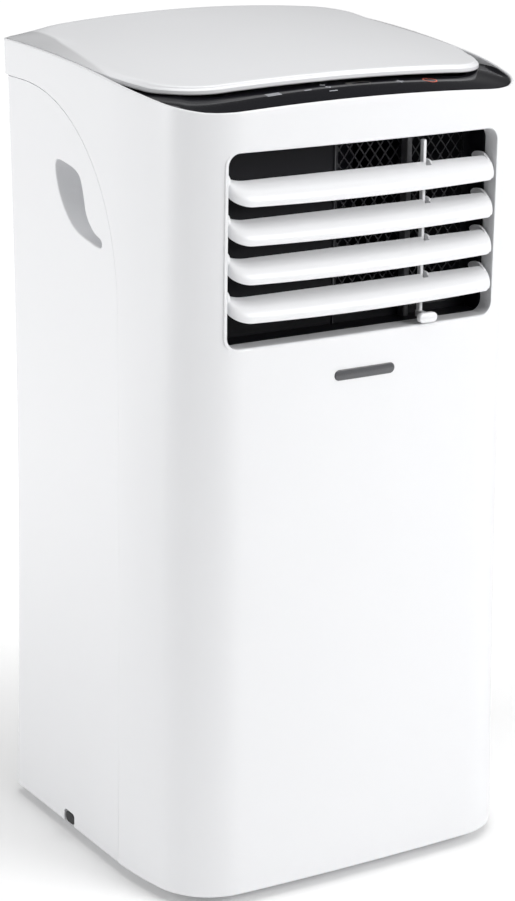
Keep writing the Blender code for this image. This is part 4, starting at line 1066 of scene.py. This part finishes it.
@dataclass(frozen=True)
class Top:
    """Crowned lid and the glossy touch panel in front of it."""

    form: BodyForm = FORM
    rear_z: float = 0.7099
    rear_y: float = 0.150
    front_y: float = -0.116
    slope: float = 0.055
    curve: float = 0.1176
    crown: float = 0.0095
    crown_half: float = 0.158
    corner: float = 0.056
    toe_in: float = 0.011
    bow: float = 0.006
    thick: float = 0.0045
    flank: tuple[float, float] = (0.0187, 0.014)
    flank_span: Pair = (-0.046, 0.094)
    flank_turn: float = 0.098
    panel_rise: tuple[float, float, float] = (0.02, 0.13, 0.14)
    panel_back: float = -0.005

    def surface(self, x: float, y: float) -> float:
        """Height of the lid's top."""
        back = self.rear_y - (y - self.form.shift_y)
        centre = self.rear_z - self.slope * back - self.curve * back * abs(back)
        return centre - self.crown * (x / self.crown_half) ** 2

    def outline(self, inset: float) -> list[Pair]:
        """The lid's outline, round at the front corners."""
        form = self.form
        half, _, rear = form.section(form.rim_top)
        half -= form.wall + 0.0004 + inset
        rear += 0.003 - form.wall - 0.0004 - inset
        front = self.front_y + inset
        corner = max(0.004, self.corner - inset)
        flat = half - self.toe_in - corner
        lean = math.radians(2)
        bow_end = flat + corner * math.sin(lean)
        points = [(bow_end * k / 14, front + self.bow * (k / 14) ** 2) for k in range(14)]
        centre_y = front + self.bow + corner
        for k in range(21):
            angle = math.radians(-90 + 2 + 80 * k / 20)
            points.append((flat + corner * math.cos(angle), centre_y + corner * math.sin(angle)))
        x_end, y_end = points[-1]
        for k in range(1, 11):
            t = k / 10
            points.append((half - (half - x_end) * (1 - t) ** 2, y_end + (0.0 - y_end) * t))
        small = min(0.030, form.rear_corner - form.wall + inset)
        for k in range(1, 13):
            points.append((half, (rear - small) * k / 13))
        for k in range(7):
            angle = math.radians(90 * k / 6)
            points.append((half - small + small * math.cos(angle), rear - small + small * math.sin(angle)))
        for k in range(1, 11):
            points.append(((half - small) * (1 - k / 10), rear))
        whole = points + [(-x, y) for x, y in reversed(points[1:-1])]
        return [(x, y + form.shift_y) for x, y in whole]

    def afloat(self, y: float) -> float:
        """0 where the lid's edge lies on the rim, 1 where it floats over the touch panel."""
        return ease((-0.052 - (y - self.form.shift_y)) / 0.040)

    def edge_ring(self, share: float, rise: float, side: Pair, front: Pair) -> Ring:
        """One ring of the lid's edge, blended from its side profile to its front profile.

        Args:
            share: How far up the flank the ring lies at the sides.
            rise: How far it has climbed from the rim to the crown there.
            side: Extra inset and height at the sides.
            front: Inset and drop below the crown at the front.

        Returns:
            The ring.
        """
        low, high = self.flank_span
        cache: dict[float, list[Pair]] = {}
        ring = []
        for i, (x, y) in enumerate(self.outline(0.0)):
            free = self.afloat(y)
            climb = min(1.0, max(0.0, (y - self.form.shift_y - low) / (high - low)))
            turned = ease((y - self.form.shift_y - self.flank_turn) / 0.050)
            width = self.flank[0] * climb + (self.flank[1] - self.flank[0]) * turned
            inset = round((1 - free) * (share * width + side[0]) + free * front[0], 5)
            if inset not in cache:
                cache[inset] = self.outline(inset)
            px, py = cache[inset][i]
            top = self.surface(px, py)
            at_side = (self.form.rim(x, y) + 0.0008) * (1 - rise) + top * rise + side[1]
            ring.append((px, py, (1 - free) * at_side + free * (top - front[1])))
        return ring

    def lid(self) -> None:
        """Crowned lid: flanks that fall to the rim, a grooved lip at the front."""
        rings = [[(x, y, self.surface(x, y) - self.thick) for x, y in self.outline(d)]
                 for d in (0.100, 0.060, 0.024)]
        for values in (
                (0.0, 0.0, (0.0030, -0.0050), (0.0030, 0.0064)),
                (0.0, 0.0, (0.0008, -0.0044), (0.0008, 0.0061)),
                (0.0, 0.0, (0.0, -0.0034), (0.0, 0.0052)), (0.0, 0.0, (0.0, -0.0006), (0.0, 0.0028)),
                (0.0, 0.02, (0.0005, -0.0001), (0.0006, 0.0020)),
                (0.12, 0.14, (0.0010, 0.0), (0.0016, 0.0016)),
                (0.35, 0.38, (0.0018, 0.0), (0.0021, 0.0014)), (0.62, 0.66, (0.0028, 0.0), (0.0024, 0.0006)),
                (0.84, 0.87, (0.0036, 0.0), (0.0031, 0.0001)), (0.95, 0.965, (0.0044, 0.0), (0.0046, 0.0)),
                (1.06, 1.0, (0.0052, 0.0), (0.0068, 0.0)), (1.22, 1.0, (0.0064, 0.0), (0.0100, 0.0))):
            rings.append(self.edge_ring(*values))
        for inset in (0.034, 0.045, 0.058, 0.072, 0.086, 0.100):
            rings.append([(x, y, self.surface(x, y)) for x, y in self.outline(inset)])
        last = rings[-1]
        middle_y = sum(point[1] for point in last) / len(last)
        for shrink in (0.82, 0.64, 0.46, 0.28, 0.10):
            ring = [(x * shrink, middle_y + (y - middle_y) * shrink) for x, y, _ in last]
            rings.append([(x, y, self.surface(x, y)) for x, y in ring])
        piece(loft(rings), "crowned_lid", Finishes.LID, "cabinet", ["top_lid"], weighted=True)

    def level(self, x: float, y: float, depth: float = -1.0) -> float:
        """Height of the touch panel.

        Args:
            x: Place across.
            y: Place along.
            depth: Distance inside its outer edge; worked out from the front edge where it isn't given.

        Returns:
            The height.
        """
        if depth < 0:
            depth = y - self.form.front_at(x, 0.67) - self.form.wall - 0.0004
        slope, extra, half = self.panel_rise
        level = self.form.rim(x, y) - 0.0012 - 0.0045 * (1 - self.afloat(y))
        level += depth * (slope + extra * max(0.0, 1 - (x / half) ** 2))
        free = self.afloat(y)
        under = (1 - free) * (self.form.rim(x, y) - 0.0042) + free * (self.surface(x, y) - 0.0062)
        return min(level, under - 0.0010) if depth > 0.002 else level

    def panel(self) -> None:
        """Glossy panel that climbs from the rim to the lid, its outer edge rounded."""
        rings = []
        for inset, drop in ((0.0, 0.0040), (0.0, 0.0009), (0.0003, 0.0003), (0.0010, 0.0)):
            rings.append([(x, y, self.level(x, y, 0.0) - drop) for x, y in self.footprint(inset)])
        for k in range(1, 14):
            depth = 0.0028 * k
            rings.append([(x, y, self.level(x, y, depth)) for x, y in self.footprint(depth)])
        rings.append([(x, y, 0.6660) for x, y in self.footprint(0.048)])
        piece(loft(rings), "touch_panel", Finishes.PANEL, "cabinet", ["control_panel"])
        self.symbols()

    def footprint(self, depth: float) -> list[Pair]:
        """The touch panel's outline at a depth, closed straight across at the back."""
        form = self.form
        back = self.panel_back + form.shift_y - depth * 0.4
        return [(x, min(y, back)) for x, y in form.outline(form.ground + 0.66, form.wall + 0.0004 + depth)]

    def symbols(self) -> None:
        """Generic symbols: a mode mark, minus, plus, two small marks, a dim display and power."""
        grey = [self.bar(-0.0753, -0.1434 + shift, 0.0066, 0.0006) for shift in (-0.0022, 0.0, 0.0022)]
        grey += [self.bar(-0.0443, -0.1450, 0.0034, 0.0006), self.bar(0.0443, -0.1425, 0.0038, 0.0006),
                 self.bar(0.0443, -0.1425, 0.0006, 0.0038)]
        grey += [self.ring(x, y, 0.0018, 0.0004, 360) for x, y in ((-0.0246, -0.1350), (-0.0246, -0.1435))]
        grey.append(self.bar(-0.0246, -0.1515, 0.0040, 0.0005))
        piece(join(*grey), "touch_symbols", Finishes.SYMBOL, "cabinet")
        piece(self.bar(0.0060, -0.1400, 0.0115, 0.0048), "display_window", Finishes.DISPLAY, "cabinet")
        power = join(self.ring(0.0745, -0.1415, 0.0056, 0.0005, 300),
                     self.bar(0.0745, -0.1365, 0.0005, 0.0024))
        piece(power, "power_symbol", Finishes.POWER, "cabinet")

    def bar(self, x: float, y: float, half_x: float, half_y: float) -> bmesh.types.BMesh:
        """A flat printed bar on the panel."""
        radius = min(half_x, half_y) * 0.9
        outline = rounded_box(x - half_x, x + half_x, y - half_y, y + half_y, radius, 4, 2)
        return self.laid(outline)

    def ring(self, x: float, y: float, radius: float, half: float, sweep: float) -> bmesh.types.BMesh:
        """A printed ring, or part of one open at the back."""
        steps = 32
        angles = [math.radians(90 + (360 - sweep) / 2 + sweep * k / steps) for k in range(steps + 1)]
        if sweep >= 360:
            outer, inner = ([(x + r * math.cos(a), y + r * math.sin(a)) for a in angles[:-1]]
                            for r in (radius + half, radius - half))
            rings = [self.raised(ring, up) for ring,
                     up in ((outer, -0.0002), (outer, 0.00006), (inner, 0.00006),
                                                           (inner, -0.0002))]
            return loft(rings, wrap=True)
        outer = [(x + (radius + half) * math.cos(a), y + (radius + half) * math.sin(a)) for a in angles]
        inner = [(x + (radius - half) * math.cos(a), y + (radius - half) * math.sin(a))
                 for a in reversed(angles)]
        return self.laid(outer + inner)

    def raised(self, outline: Sequence[Pair], up: float) -> list[tuple[float, float, float]]:
        """An outline laid on the panel at a height over it."""
        return [(x, y, self.level(x, y) + up) for x, y in outline]

    def laid(self, outline: Sequence[Pair]) -> bmesh.types.BMesh:
        """A thin solid of an outline, just proud of the panel."""
        return loft([self.raised(outline, -0.0002), self.raised(outline, 0.00006)])

    def build(self) -> None:
        """Build lid, panel and symbols."""
        self.lid()
        self.panel()


# ---- Outlet ----


@dataclass(frozen=True)
class Outlet:
    """Louvers, link, guard and the trim behind them."""

    form: BodyForm = FORM
    pivot_y: float = -0.139
    pivot_z: float = 0.610
    pitch: float = 0.031
    half: float = 0.1248
    bow: float = 0.0024
    link_x: float = 0.0645
    crank: float = 0.0105

    def blade_section(self, x: float) -> list[Pair]:
        """Closed (y, z) section of the blade at x, about its pivot."""
        bow = self.bow * (1 - (x / self.half) ** 2)
        reach = min(1.0, max(0.0, (-x - 0.1060) / 0.0188))
        left = 1 - math.sqrt(max(0.0, 1 - reach * reach))
        right = ease((x - 0.1190) / 0.0058)
        outer = [(-0.0140, 0.0020), (-0.0175, 0.0009), (-0.0205, -0.0010), (-0.0232, -0.0029),
                 (-0.0255, -0.0050), (-0.0272, -0.0074), (-0.0284, -0.0102), (-0.0287, -0.0130),
                 (-0.0282, -0.0152)]
        inner = [(-0.0276, -0.0160), (-0.0266, -0.0160), (-0.0262, -0.0148), (-0.0262, -0.0120),
                 (-0.0252, -0.0092), (-0.0234, -0.0064), (-0.0205, -0.0040), (-0.0172, -0.0019),
                 (-0.0140, -0.0006)]
        points = []
        for y, z in outer + inner:
            nose = min(1.0, max(0.0, (-y - 0.0140) / 0.0147))
            y2 = y - bow * 0.6 * nose
            z2 = z - bow * nose
            y2 += left * 0.0125 * nose + right * 0.0030 * nose
            z2 += left * (0.0070 + 0.0030 * nose) + right * 0.0010 * nose
            points.append((y2, z2))
        return points

    def blade(self) -> bpy.types.Object:
        """The top blade, with its arms, pins, lug and link notch."""
        stations = [-0.1060 - 0.0188 * math.sin(math.radians(6 * k)) for k in range(15, -1, -1)]
        stations += [-0.1060 + (0.1190 + 0.1060) * k / 22 for k in range(1, 23)]
        stations += [0.1205, 0.1222, 0.1238, self.half]
        rings = [[(x, self.pivot_y + y, self.pivot_z + z) for y, z in self.blade_section(x)]
                 for x in stations]
        blade = raw_object("blade", loft(rings))
        carve(blade, "DIFFERENCE", block(self.link_x - 0.0026, self.link_x + 0.0027, self.pivot_y - 0.0190,
                                         self.pivot_y - 0.0100, self.pivot_z - 0.02, self.pivot_z + 0.02))
        left = [(-0.0190, 0.0000), (-0.0130, -0.0050), (0.0000, -0.0050), (0.0040, -0.0010), (0.0040, 0.0050),
                (-0.0010, 0.0088), (-0.0130, 0.0090), (-0.0185, 0.0060)]
        right = [(-0.0190, -0.0026), (-0.0130, -0.0030), (0.0000, -0.0028), (0.0030, 0.0000),
                 (0.0000, 0.0030),
                 (-0.0060, 0.0042), (-0.0120, 0.0040), (-0.0190, 0.0002)]
        lug = [(-0.0165, -0.0042), (-0.0085, -0.0034), (-0.0072, 0.0000), (-0.0085, 0.0034),
               (-0.0160, 0.0022)]
        for outline, x0, x1 in ((left, -0.1247, -0.1222), (right, 0.1222, 0.1247), (lug, 0.0673, 0.0693)):
            shape = [(self.pivot_y + y, self.pivot_z + z) for y, z in smooth_closed(outline, 4)]
            carve(blade, "UNION", slab(shape, "X", x0, x1, 0.0005))
        for x0, x1 in ((-0.1276, -0.1240), (0.1240, 0.1276)):
            pin = [(self.pivot_y + 0.002 * math.cos(a), self.pivot_z + 0.002 * math.sin(a))
                   for a in (math.tau * k / 20 for k in range(20))]
            carve(blade, "UNION", slab(pin, "X", x0, x1))
        return blade

    def louvers(self) -> None:
        """Four equal blades, each on its own body."""
        first = piece(self.blade(), "blade_1", Finishes.LOUVER, "louver_blade_1", ["louver_1"])
        for k in (2, 3, 4):
            placed_like(first, f"blade_{k}", (0, 0, -self.pitch * (k - 1)), f"louver_blade_{k}",
                        [f"louver_{k}"])

    def link(self) -> None:
        """Link rod with rounded edges, its pegs and the finger knob."""
        y = self.pivot_y - self.crank
        foot, top = 0.4865, self.pivot_z + 0.0196
        bar = rounded_box(self.link_x - 0.0015, self.link_x + 0.0015, y - 0.0025, y + 0.0025, 0.0007, 4, 2)
        rod = slab(bar, "Z", foot, top, 0.0006)
        neck = rounded_box(self.link_x - 0.0030, self.link_x + 0.0012, -0.1675, y + 0.0018, 0.0008, 4, 2)
        join(rod, slab(neck, "Z", 0.4822, 0.4878, 0.0006))
        knob = rounded_box(self.link_x - 0.0130, self.link_x + 0.0045, 0.4816, 0.4897, 0.0040, 8, 3)
        join(rod, slab(knob, "Y", -0.1700, -0.1645, 0.0011))
        for k in range(4):
            z = self.pivot_z - self.pitch * k
            peg = [(y + 0.0012 * math.cos(a), z + 0.0012 * math.sin(a))
                   for a in (math.tau * j / 12 for j in range(12))]
            join(rod, slab(peg, "X", self.link_x + 0.0008, self.link_x + 0.0054))
        piece(rod, "link_rod", Finishes.LOUVER, "louver_link", ["link_bar"])

    def guard(self) -> None:
        """Expanded diamond guard in its frame, and the upright rib by the link."""
        x0, x1, z0, z1 = -0.0055, 0.1215, 0.4865, 0.6295
        bm = bmesh.new()
        cells, pitch = 26, 0.0082
        bmesh.ops.create_grid(bm, x_segments=cells, y_segments=cells, size=cells * pitch / 2)
        tilt = Matrix.Rotation(math.radians(90), 4, "X") @ Matrix.Rotation(math.radians(45), 4, "Z")
        bmesh.ops.transform(bm, matrix=tilt, verts=bm.verts)
        bmesh.ops.scale(bm, vec=(0.86, 1, 1.12), verts=bm.verts)
        bmesh.ops.translate(bm, vec=((x0 + x1) / 2, -0.1262, (z0 + z1) / 2), verts=bm.verts)
        for plane, normal in (((x0, 0, 0), (-1, 0, 0)), ((x1, 0, 0), (1, 0, 0)), ((0, 0, z0), (0, 0, -1)),
                              ((0, 0, z1), (0, 0, 1))):
            bmesh.ops.bisect_plane(bm, geom=bm.verts[:] + bm.edges[:] + bm.faces[:], plane_co=plane,
                                   plane_no=normal, clear_outer=True)
        whole = [f for f in bm.faces if f.calc_area() > 0.000012]
        bmesh.ops.inset_individual(bm, faces=whole, thickness=0.00055, use_even_offset=True)
        bmesh.ops.delete(bm, geom=whole, context="FACES")
        bmesh.ops.solidify(bm, geom=bm.faces[:], thickness=0.0009)
        outer = rounded_box(x0 - 0.0004, x1 + 0.0004, z0 - 0.0004, z1 + 0.0004, 0.002, 3, 2)
        inner = offset(outer, -0.0022)
        rings = [[(x, y, z) for x, z in ring] for ring,
                 y in ((outer, -0.1272), (inner, -0.1272), (inner, -0.1252),
                                                             (outer, -0.1252))]
        frame = loft(rings, wrap=True)
        piece(join(bm, frame), "diamond_guard", Finishes.GUARD, "cabinet", ["outlet_guard"])
        rib = block(0.0575, 0.0622, -0.1368, -0.1276, 0.4800, 0.6355, 0.0006)
        piece(rib, "upright_rib", Finishes.RIB, "cabinet")
        lip = block(-0.0072, -0.0062, -0.1285, -0.1270, 0.4800, 0.6355, 0.0002)
        piece(lip, "guard_lip", Finishes.RIB, "cabinet")

    def badge(self) -> None:
        """Plain oblong badge with a rounded edge."""
        z = 0.4475
        outline = rounded_box(-0.029, 0.029, z - 0.0045, z + 0.0045, 0.0044, 8, 10)
        front = [(x, self.form.front_at(x, z0), z0) for x, z0 in outline]
        rings = []
        for proud, grow in ((-0.0002, 0.0), (0.0004, 0.0), (0.0008, -0.0003), (0.0010, -0.0009)):
            ring = offset(outline, grow)
            rings.append([(x, y - proud, z0) for (x, z0), (_, y, _) in zip(ring, front)])
        piece(loft(rings), "plain_badge", Finishes.BADGE, "cabinet", ["name_badge"])

    def build(self) -> None:
        """Build every piece of the outlet."""
        self.louvers()
        self.link()
        self.guard()
        self.badge()


# ---- Rear ----


@dataclass(frozen=True)
class RearFittings:
    """Filter cassettes with their slats, the exhaust spigot and the drain plugs."""

    form: BodyForm = FORM
    half: float = 0.1252

    def cassette(self, label: str) -> None:
        """One filter cassette: frame, slats, upright bars, a pull tab and its cloth.

        Args:
            label: "upper" or "lower".
        """
        low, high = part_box(f"{label}_filter_frame")
        y0, y1, z0, z1 = low.y, high.y, low.z, high.z
        outer = rounded_box(low.x, high.x, z0, z1, 0.0035, 6, 10)
        rings = []
        for grow, y in ((-0.0006, y1), (-0.0052, y1), (-0.0060, y1 - 0.0006), (-0.0060, y0), (0.0, y0),
                        (0.0, y1 - 0.0006)):
            rings.append([(x, y, z) for x, z in offset(outer, grow)])
        frame = loft(rings, wrap=True)
        slats = []
        count = round((z1 - z0 - 0.014) / 0.0078)
        for k in range(1, count):
            z = z0 + 0.006 + (z1 - z0 - 0.012) * k / count
            slats.append(block(low.x + 0.005, high.x - 0.005, y0 + 0.0012, y1 - 0.0008, z - 0.0013,
                               z + 0.0013,
                               0.0004))
        for k in range(1, 6):
            x = low.x + (high.x - low.x) * k / 6
            slats.append(block(x - 0.0014, x + 0.0014, y0 + 0.0008, y1 - 0.0020, z0 + 0.005, z1 - 0.005,
                               0.0004))
        tab = rounded_box(-0.016, 0.016, z1 - 0.0070, z1 - 0.0022, 0.0020, 5, 2)
        slats.append(slab(tab, "Y", y1 - 0.0006, y1 + 0.0018, 0.0006))
        piece(join(frame, *slats), f"{label}_cassette", Finishes.SHELL, f"{label}_filter",
              [f"{label}_filter_frame"])
        Finishes.FILTER.apply(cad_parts[f"{label}_filter_mesh"])

    def spigot(self) -> None:
        """Hose spigot with its flange, lead-in and three locking ribs."""
        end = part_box("exhaust_spigot")[1].y
        flange = 0.1344
        profile = [(0.0600, 0.1267), (0.0635, 0.1267), (0.0635, flange), (0.0708, flange),
                   (0.0708, flange + 0.0025),
                   (0.0635, flange + 0.0025), (0.0635, end), (0.0600, end)]
        tube = raw_object("spigot", turn(spun(softened(profile, 0.0007, closed=True), 96), "Y",
                                         (0, 0, 0.290)))
        for k in range(3):
            angle = math.radians(90 + 120 * k)
            x, z = 0.0650 * math.cos(angle), 0.290 + 0.0650 * math.sin(angle)
            carve(tube, "UNION", block(x - 0.0060, x + 0.0060, end - 0.0120, end - 0.0080, z - 0.0030,
                                       z + 0.0030,
                                       0.0006))
        piece(tube, "hose_spigot", Finishes.SHELL, "cabinet", ["exhaust_spigot"])

    def plugs(self) -> None:
        """The upper and lower drain plugs."""
        for label, z in (("upper", 0.376), ("lower", 0.030)):
            low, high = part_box(f"drain_plug_{label}")
            face = self.form.rear_at(z) - 0.0015
            profile = softened([(0, low.y), (0.0076, low.y), (0.0079, face), (0.0110, face + 0.0002),
                                (0.0110, high.y - 0.0008), (0.0098, high.y), (0, high.y)], 0.0006)
            plug = turn(spun(profile, 40), "Y", (-0.100, 0, z))
            tall = (high.z - low.z) / 2
            profile_r = min(0.0110, tall)
            bmesh.ops.scale(plug, vec=(profile_r / 0.0110, 1, profile_r / 0.0110),
                            space=Matrix.Translation((0.100, 0, -z)), verts=plug.verts)
            piece(plug, f"plug_{label}", Finishes.RUBBER, f"{label}_plug", [f"drain_plug_{label}"])

    def build(self) -> None:
        """Build every rear fitting."""
        self.cassette("upper")
        self.cassette("lower")
        self.spigot()
        self.plugs()


# ---- Casters ----


@dataclass(frozen=True)
class Casters:
    """Four swivel casters with turned wheels."""

    radius: float = 0.0165
    width: float = 0.013

    def wheel(self, name: str) -> None:
        """One turned wheel with a dished hub, in place of its solid."""
        low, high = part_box(f"{name}_wheel")
        centre = (low + high) / 2
        half = (high.x - low.x) / 2
        radius = (high.z - low.z) / 2
        profile = [(0.0026, -half), (0.0060, -half), (0.0075, -half + 0.0016),
                   (radius - 0.0042, -half + 0.0016),
                   (radius - 0.0034, -half), (radius - 0.0010, -half), (radius, -half + 0.0018),
                   (radius, half - 0.0018), (radius - 0.0010, half), (radius - 0.0034, half),
                   (radius - 0.0042, half - 0.0016), (0.0075, half - 0.0016), (0.0060, half), (0.0026, half)]
        bm = turn(spun(softened(profile, 0.0006, closed=True), 48), "X", centre)
        piece(bm, f"{name}_tyre", Finishes.TREAD, f"{name}_roller", [f"{name}_wheel"])

    def build(self) -> None:
        """Build the wheels and dress the forks."""
        for end in ("front", "rear"):
            for side in ("left", "right"):
                name = f"caster_{end}_{side}"
                self.wheel(name)
                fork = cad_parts[f"{name}_fork"]
                Finishes.CASTER.apply(fork)
                LOG.info("%s_fork: dressed", name)


# ---- Carried-over solids ----


@dataclass(frozen=True)
class Interior:
    """Solids whose shape is right and which get their finish."""

    def build(self) -> None:
        """Dress every solid that is still shown."""
        dressed = {
            Finishes.BLACK: ["outlet_plenum", "outlet_neck", "upper_scroll", "lower_scroll", "upper_wheel",
                             "lower_wheel", "exhaust_duct", "drain_pump", "partition_tray"],
            Finishes.ZINC: ["upper_motor", "lower_motor", "slinger_motor", "control_box", "base_pan"],
            Finishes.CAN: ["run_capacitor"],
            Finishes.FINS: ["evaporator_coil", "condenser_coil"],
            Finishes.ENAMEL: ["compressor", "accumulator"],
            Finishes.RUBBER: ["compressor_foot_1", "compressor_foot_2", "compressor_foot_3", "cord_gland"],
            Finishes.COPPER: ["suction_pipe", "discharge_pipe", "liquid_pipe"],
            Finishes.STEEL: ["upper_shaft", "lower_shaft"],
            Finishes.BOARD: ["control_board", "display_board"],
            Finishes.LOUVER: ["slinger_wheel"],
        }
        for finish, names in dressed.items():
            for name in names:
                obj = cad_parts[name]
                finish.apply(obj)
                LOG.info("%s: dressed as %s", name, finish.value.name)


# ---- Studio ----


@dataclass(frozen=True)
class Studio:
    """Floor, lights and camera."""

    camera_at: tuple[float, float, float] = (-1.1479, -1.8806, 1.0011)
    yaw: float = -31.417
    pitch: float = 16.782
    roll: float = 0.526
    lens: float = 104.95

    def camera(self) -> None:
        """Camera at the viewing angle."""
        data = bpy.data.cameras.new("camera")
        data.lens = self.lens
        data.sensor_width = 36.0
        data.clip_start, data.clip_end = 0.1, 60.0
        yaw, pitch, roll = (math.radians(a) for a in (self.yaw, self.pitch, self.roll))
        back = Vector((math.sin(yaw) * math.cos(pitch), -math.cos(yaw) * math.cos(pitch), math.sin(pitch)))
        right = (-back).cross(Vector((0, 0, 1))).normalized()
        up = right.cross(-back)
        across = right * math.cos(roll) + up * math.sin(roll)
        upward = up * math.cos(roll) - right * math.sin(roll)
        matrix = Matrix((across, upward, back)).transposed().to_4x4()
        matrix.translation = self.camera_at
        camera = bpy.data.objects.new("camera", data)
        camera.matrix_world = matrix
        bpy.context.scene.collection.objects.link(camera)
        bpy.context.scene.camera = camera

    def softbox(self, name: str, where: Sequence[float], aim: Sequence[float], size: Pair, power: float,
                colour: Sequence[float] = (1, 1, 1)) -> None:
        """A rectangular light that faces a point.

        Args:
            name: The light's name.
            where: Its place.
            aim: The point it faces.
            size: Its width and height.
            power: Its power in watts.
            colour: Its colour.
        """
        data = bpy.data.lights.new(name, "AREA")
        data.shape = "RECTANGLE"
        data.size, data.size_y = size
        data.energy = power
        data.color = colour
        light = bpy.data.objects.new(name, data)
        light.location = where
        light.rotation_mode = "QUATERNION"
        light.rotation_quaternion = (Vector(aim) - Vector(where)).to_track_quat("-Z", "Y")
        bpy.context.scene.collection.objects.link(light)

    def lights(self) -> None:
        """Soft studio light and a pale world."""
        middle = (0, 0, 0.38)
        self.softbox("top light", (0.2, -0.3, 2.6), middle, (2.4, 2.4), 42)
        self.softbox("front light", (0.75, -1.7, 1.15), middle, (0.8, 0.6), 18)
        self.softbox("right light", (1.35, -1.45, 1.2), middle, (0.8, 0.7), 5)
        self.softbox("left light", (-2.4, 0.6, 1.0), middle, (1.2, 1.6), 26)
        world = bpy.data.worlds.new("studio")
        world.use_nodes = True
        background = world.node_tree.nodes["Background"]
        background.inputs["Color"].default_value = (1, 1, 1, 1)
        background.inputs["Strength"].default_value = 0.175
        bpy.context.scene.world = world
        bpy.context.scene.view_settings.view_transform = "Standard"
        bpy.context.scene.view_settings.look = "None"

    def floor(self) -> None:
        """Plain pale floor that glows more behind the object, so that it fades into white."""
        bm = bmesh.new()
        bmesh.ops.create_grid(bm, x_segments=1, y_segments=1, size=12)
        floor = raw_object("floor", bm)
        near_glow, far_glow = (0.16, 0.16, 0.16), (1.0, 1.0, 1.0)
        shader = Shader("pale floor")
        far = shader.node("ShaderNodeMapRange", {"interpolation_type": "SMOOTHSTEP"},
                          {0: shader.axis("Y"), 1: 0.1, 2: 1.2})
        colour = shader.blend(shader.noise(3.0, 2.0), (0.93, 0.93, 0.93), (0.95, 0.95, 0.95))
        floor.data.materials.append(shader.surface({
            "Base Color": colour, "Roughness": 0.7,
            "Emission Color": shader.blend(far, near_glow, far_glow),
            "Emission Strength": 0.85}))

    def build(self) -> None:
        """Set the stage."""
        self.camera()
        self.lights()
        self.floor()


def main() -> None:
    """Build everything in order."""
    for part in (Studio(), Shell(), Top(), Outlet(), RearFittings(), Casters(), Interior()):
        part.build()
        LOG.info("%s built", type(part).__name__)


if __name__ == "__main__":
    main()
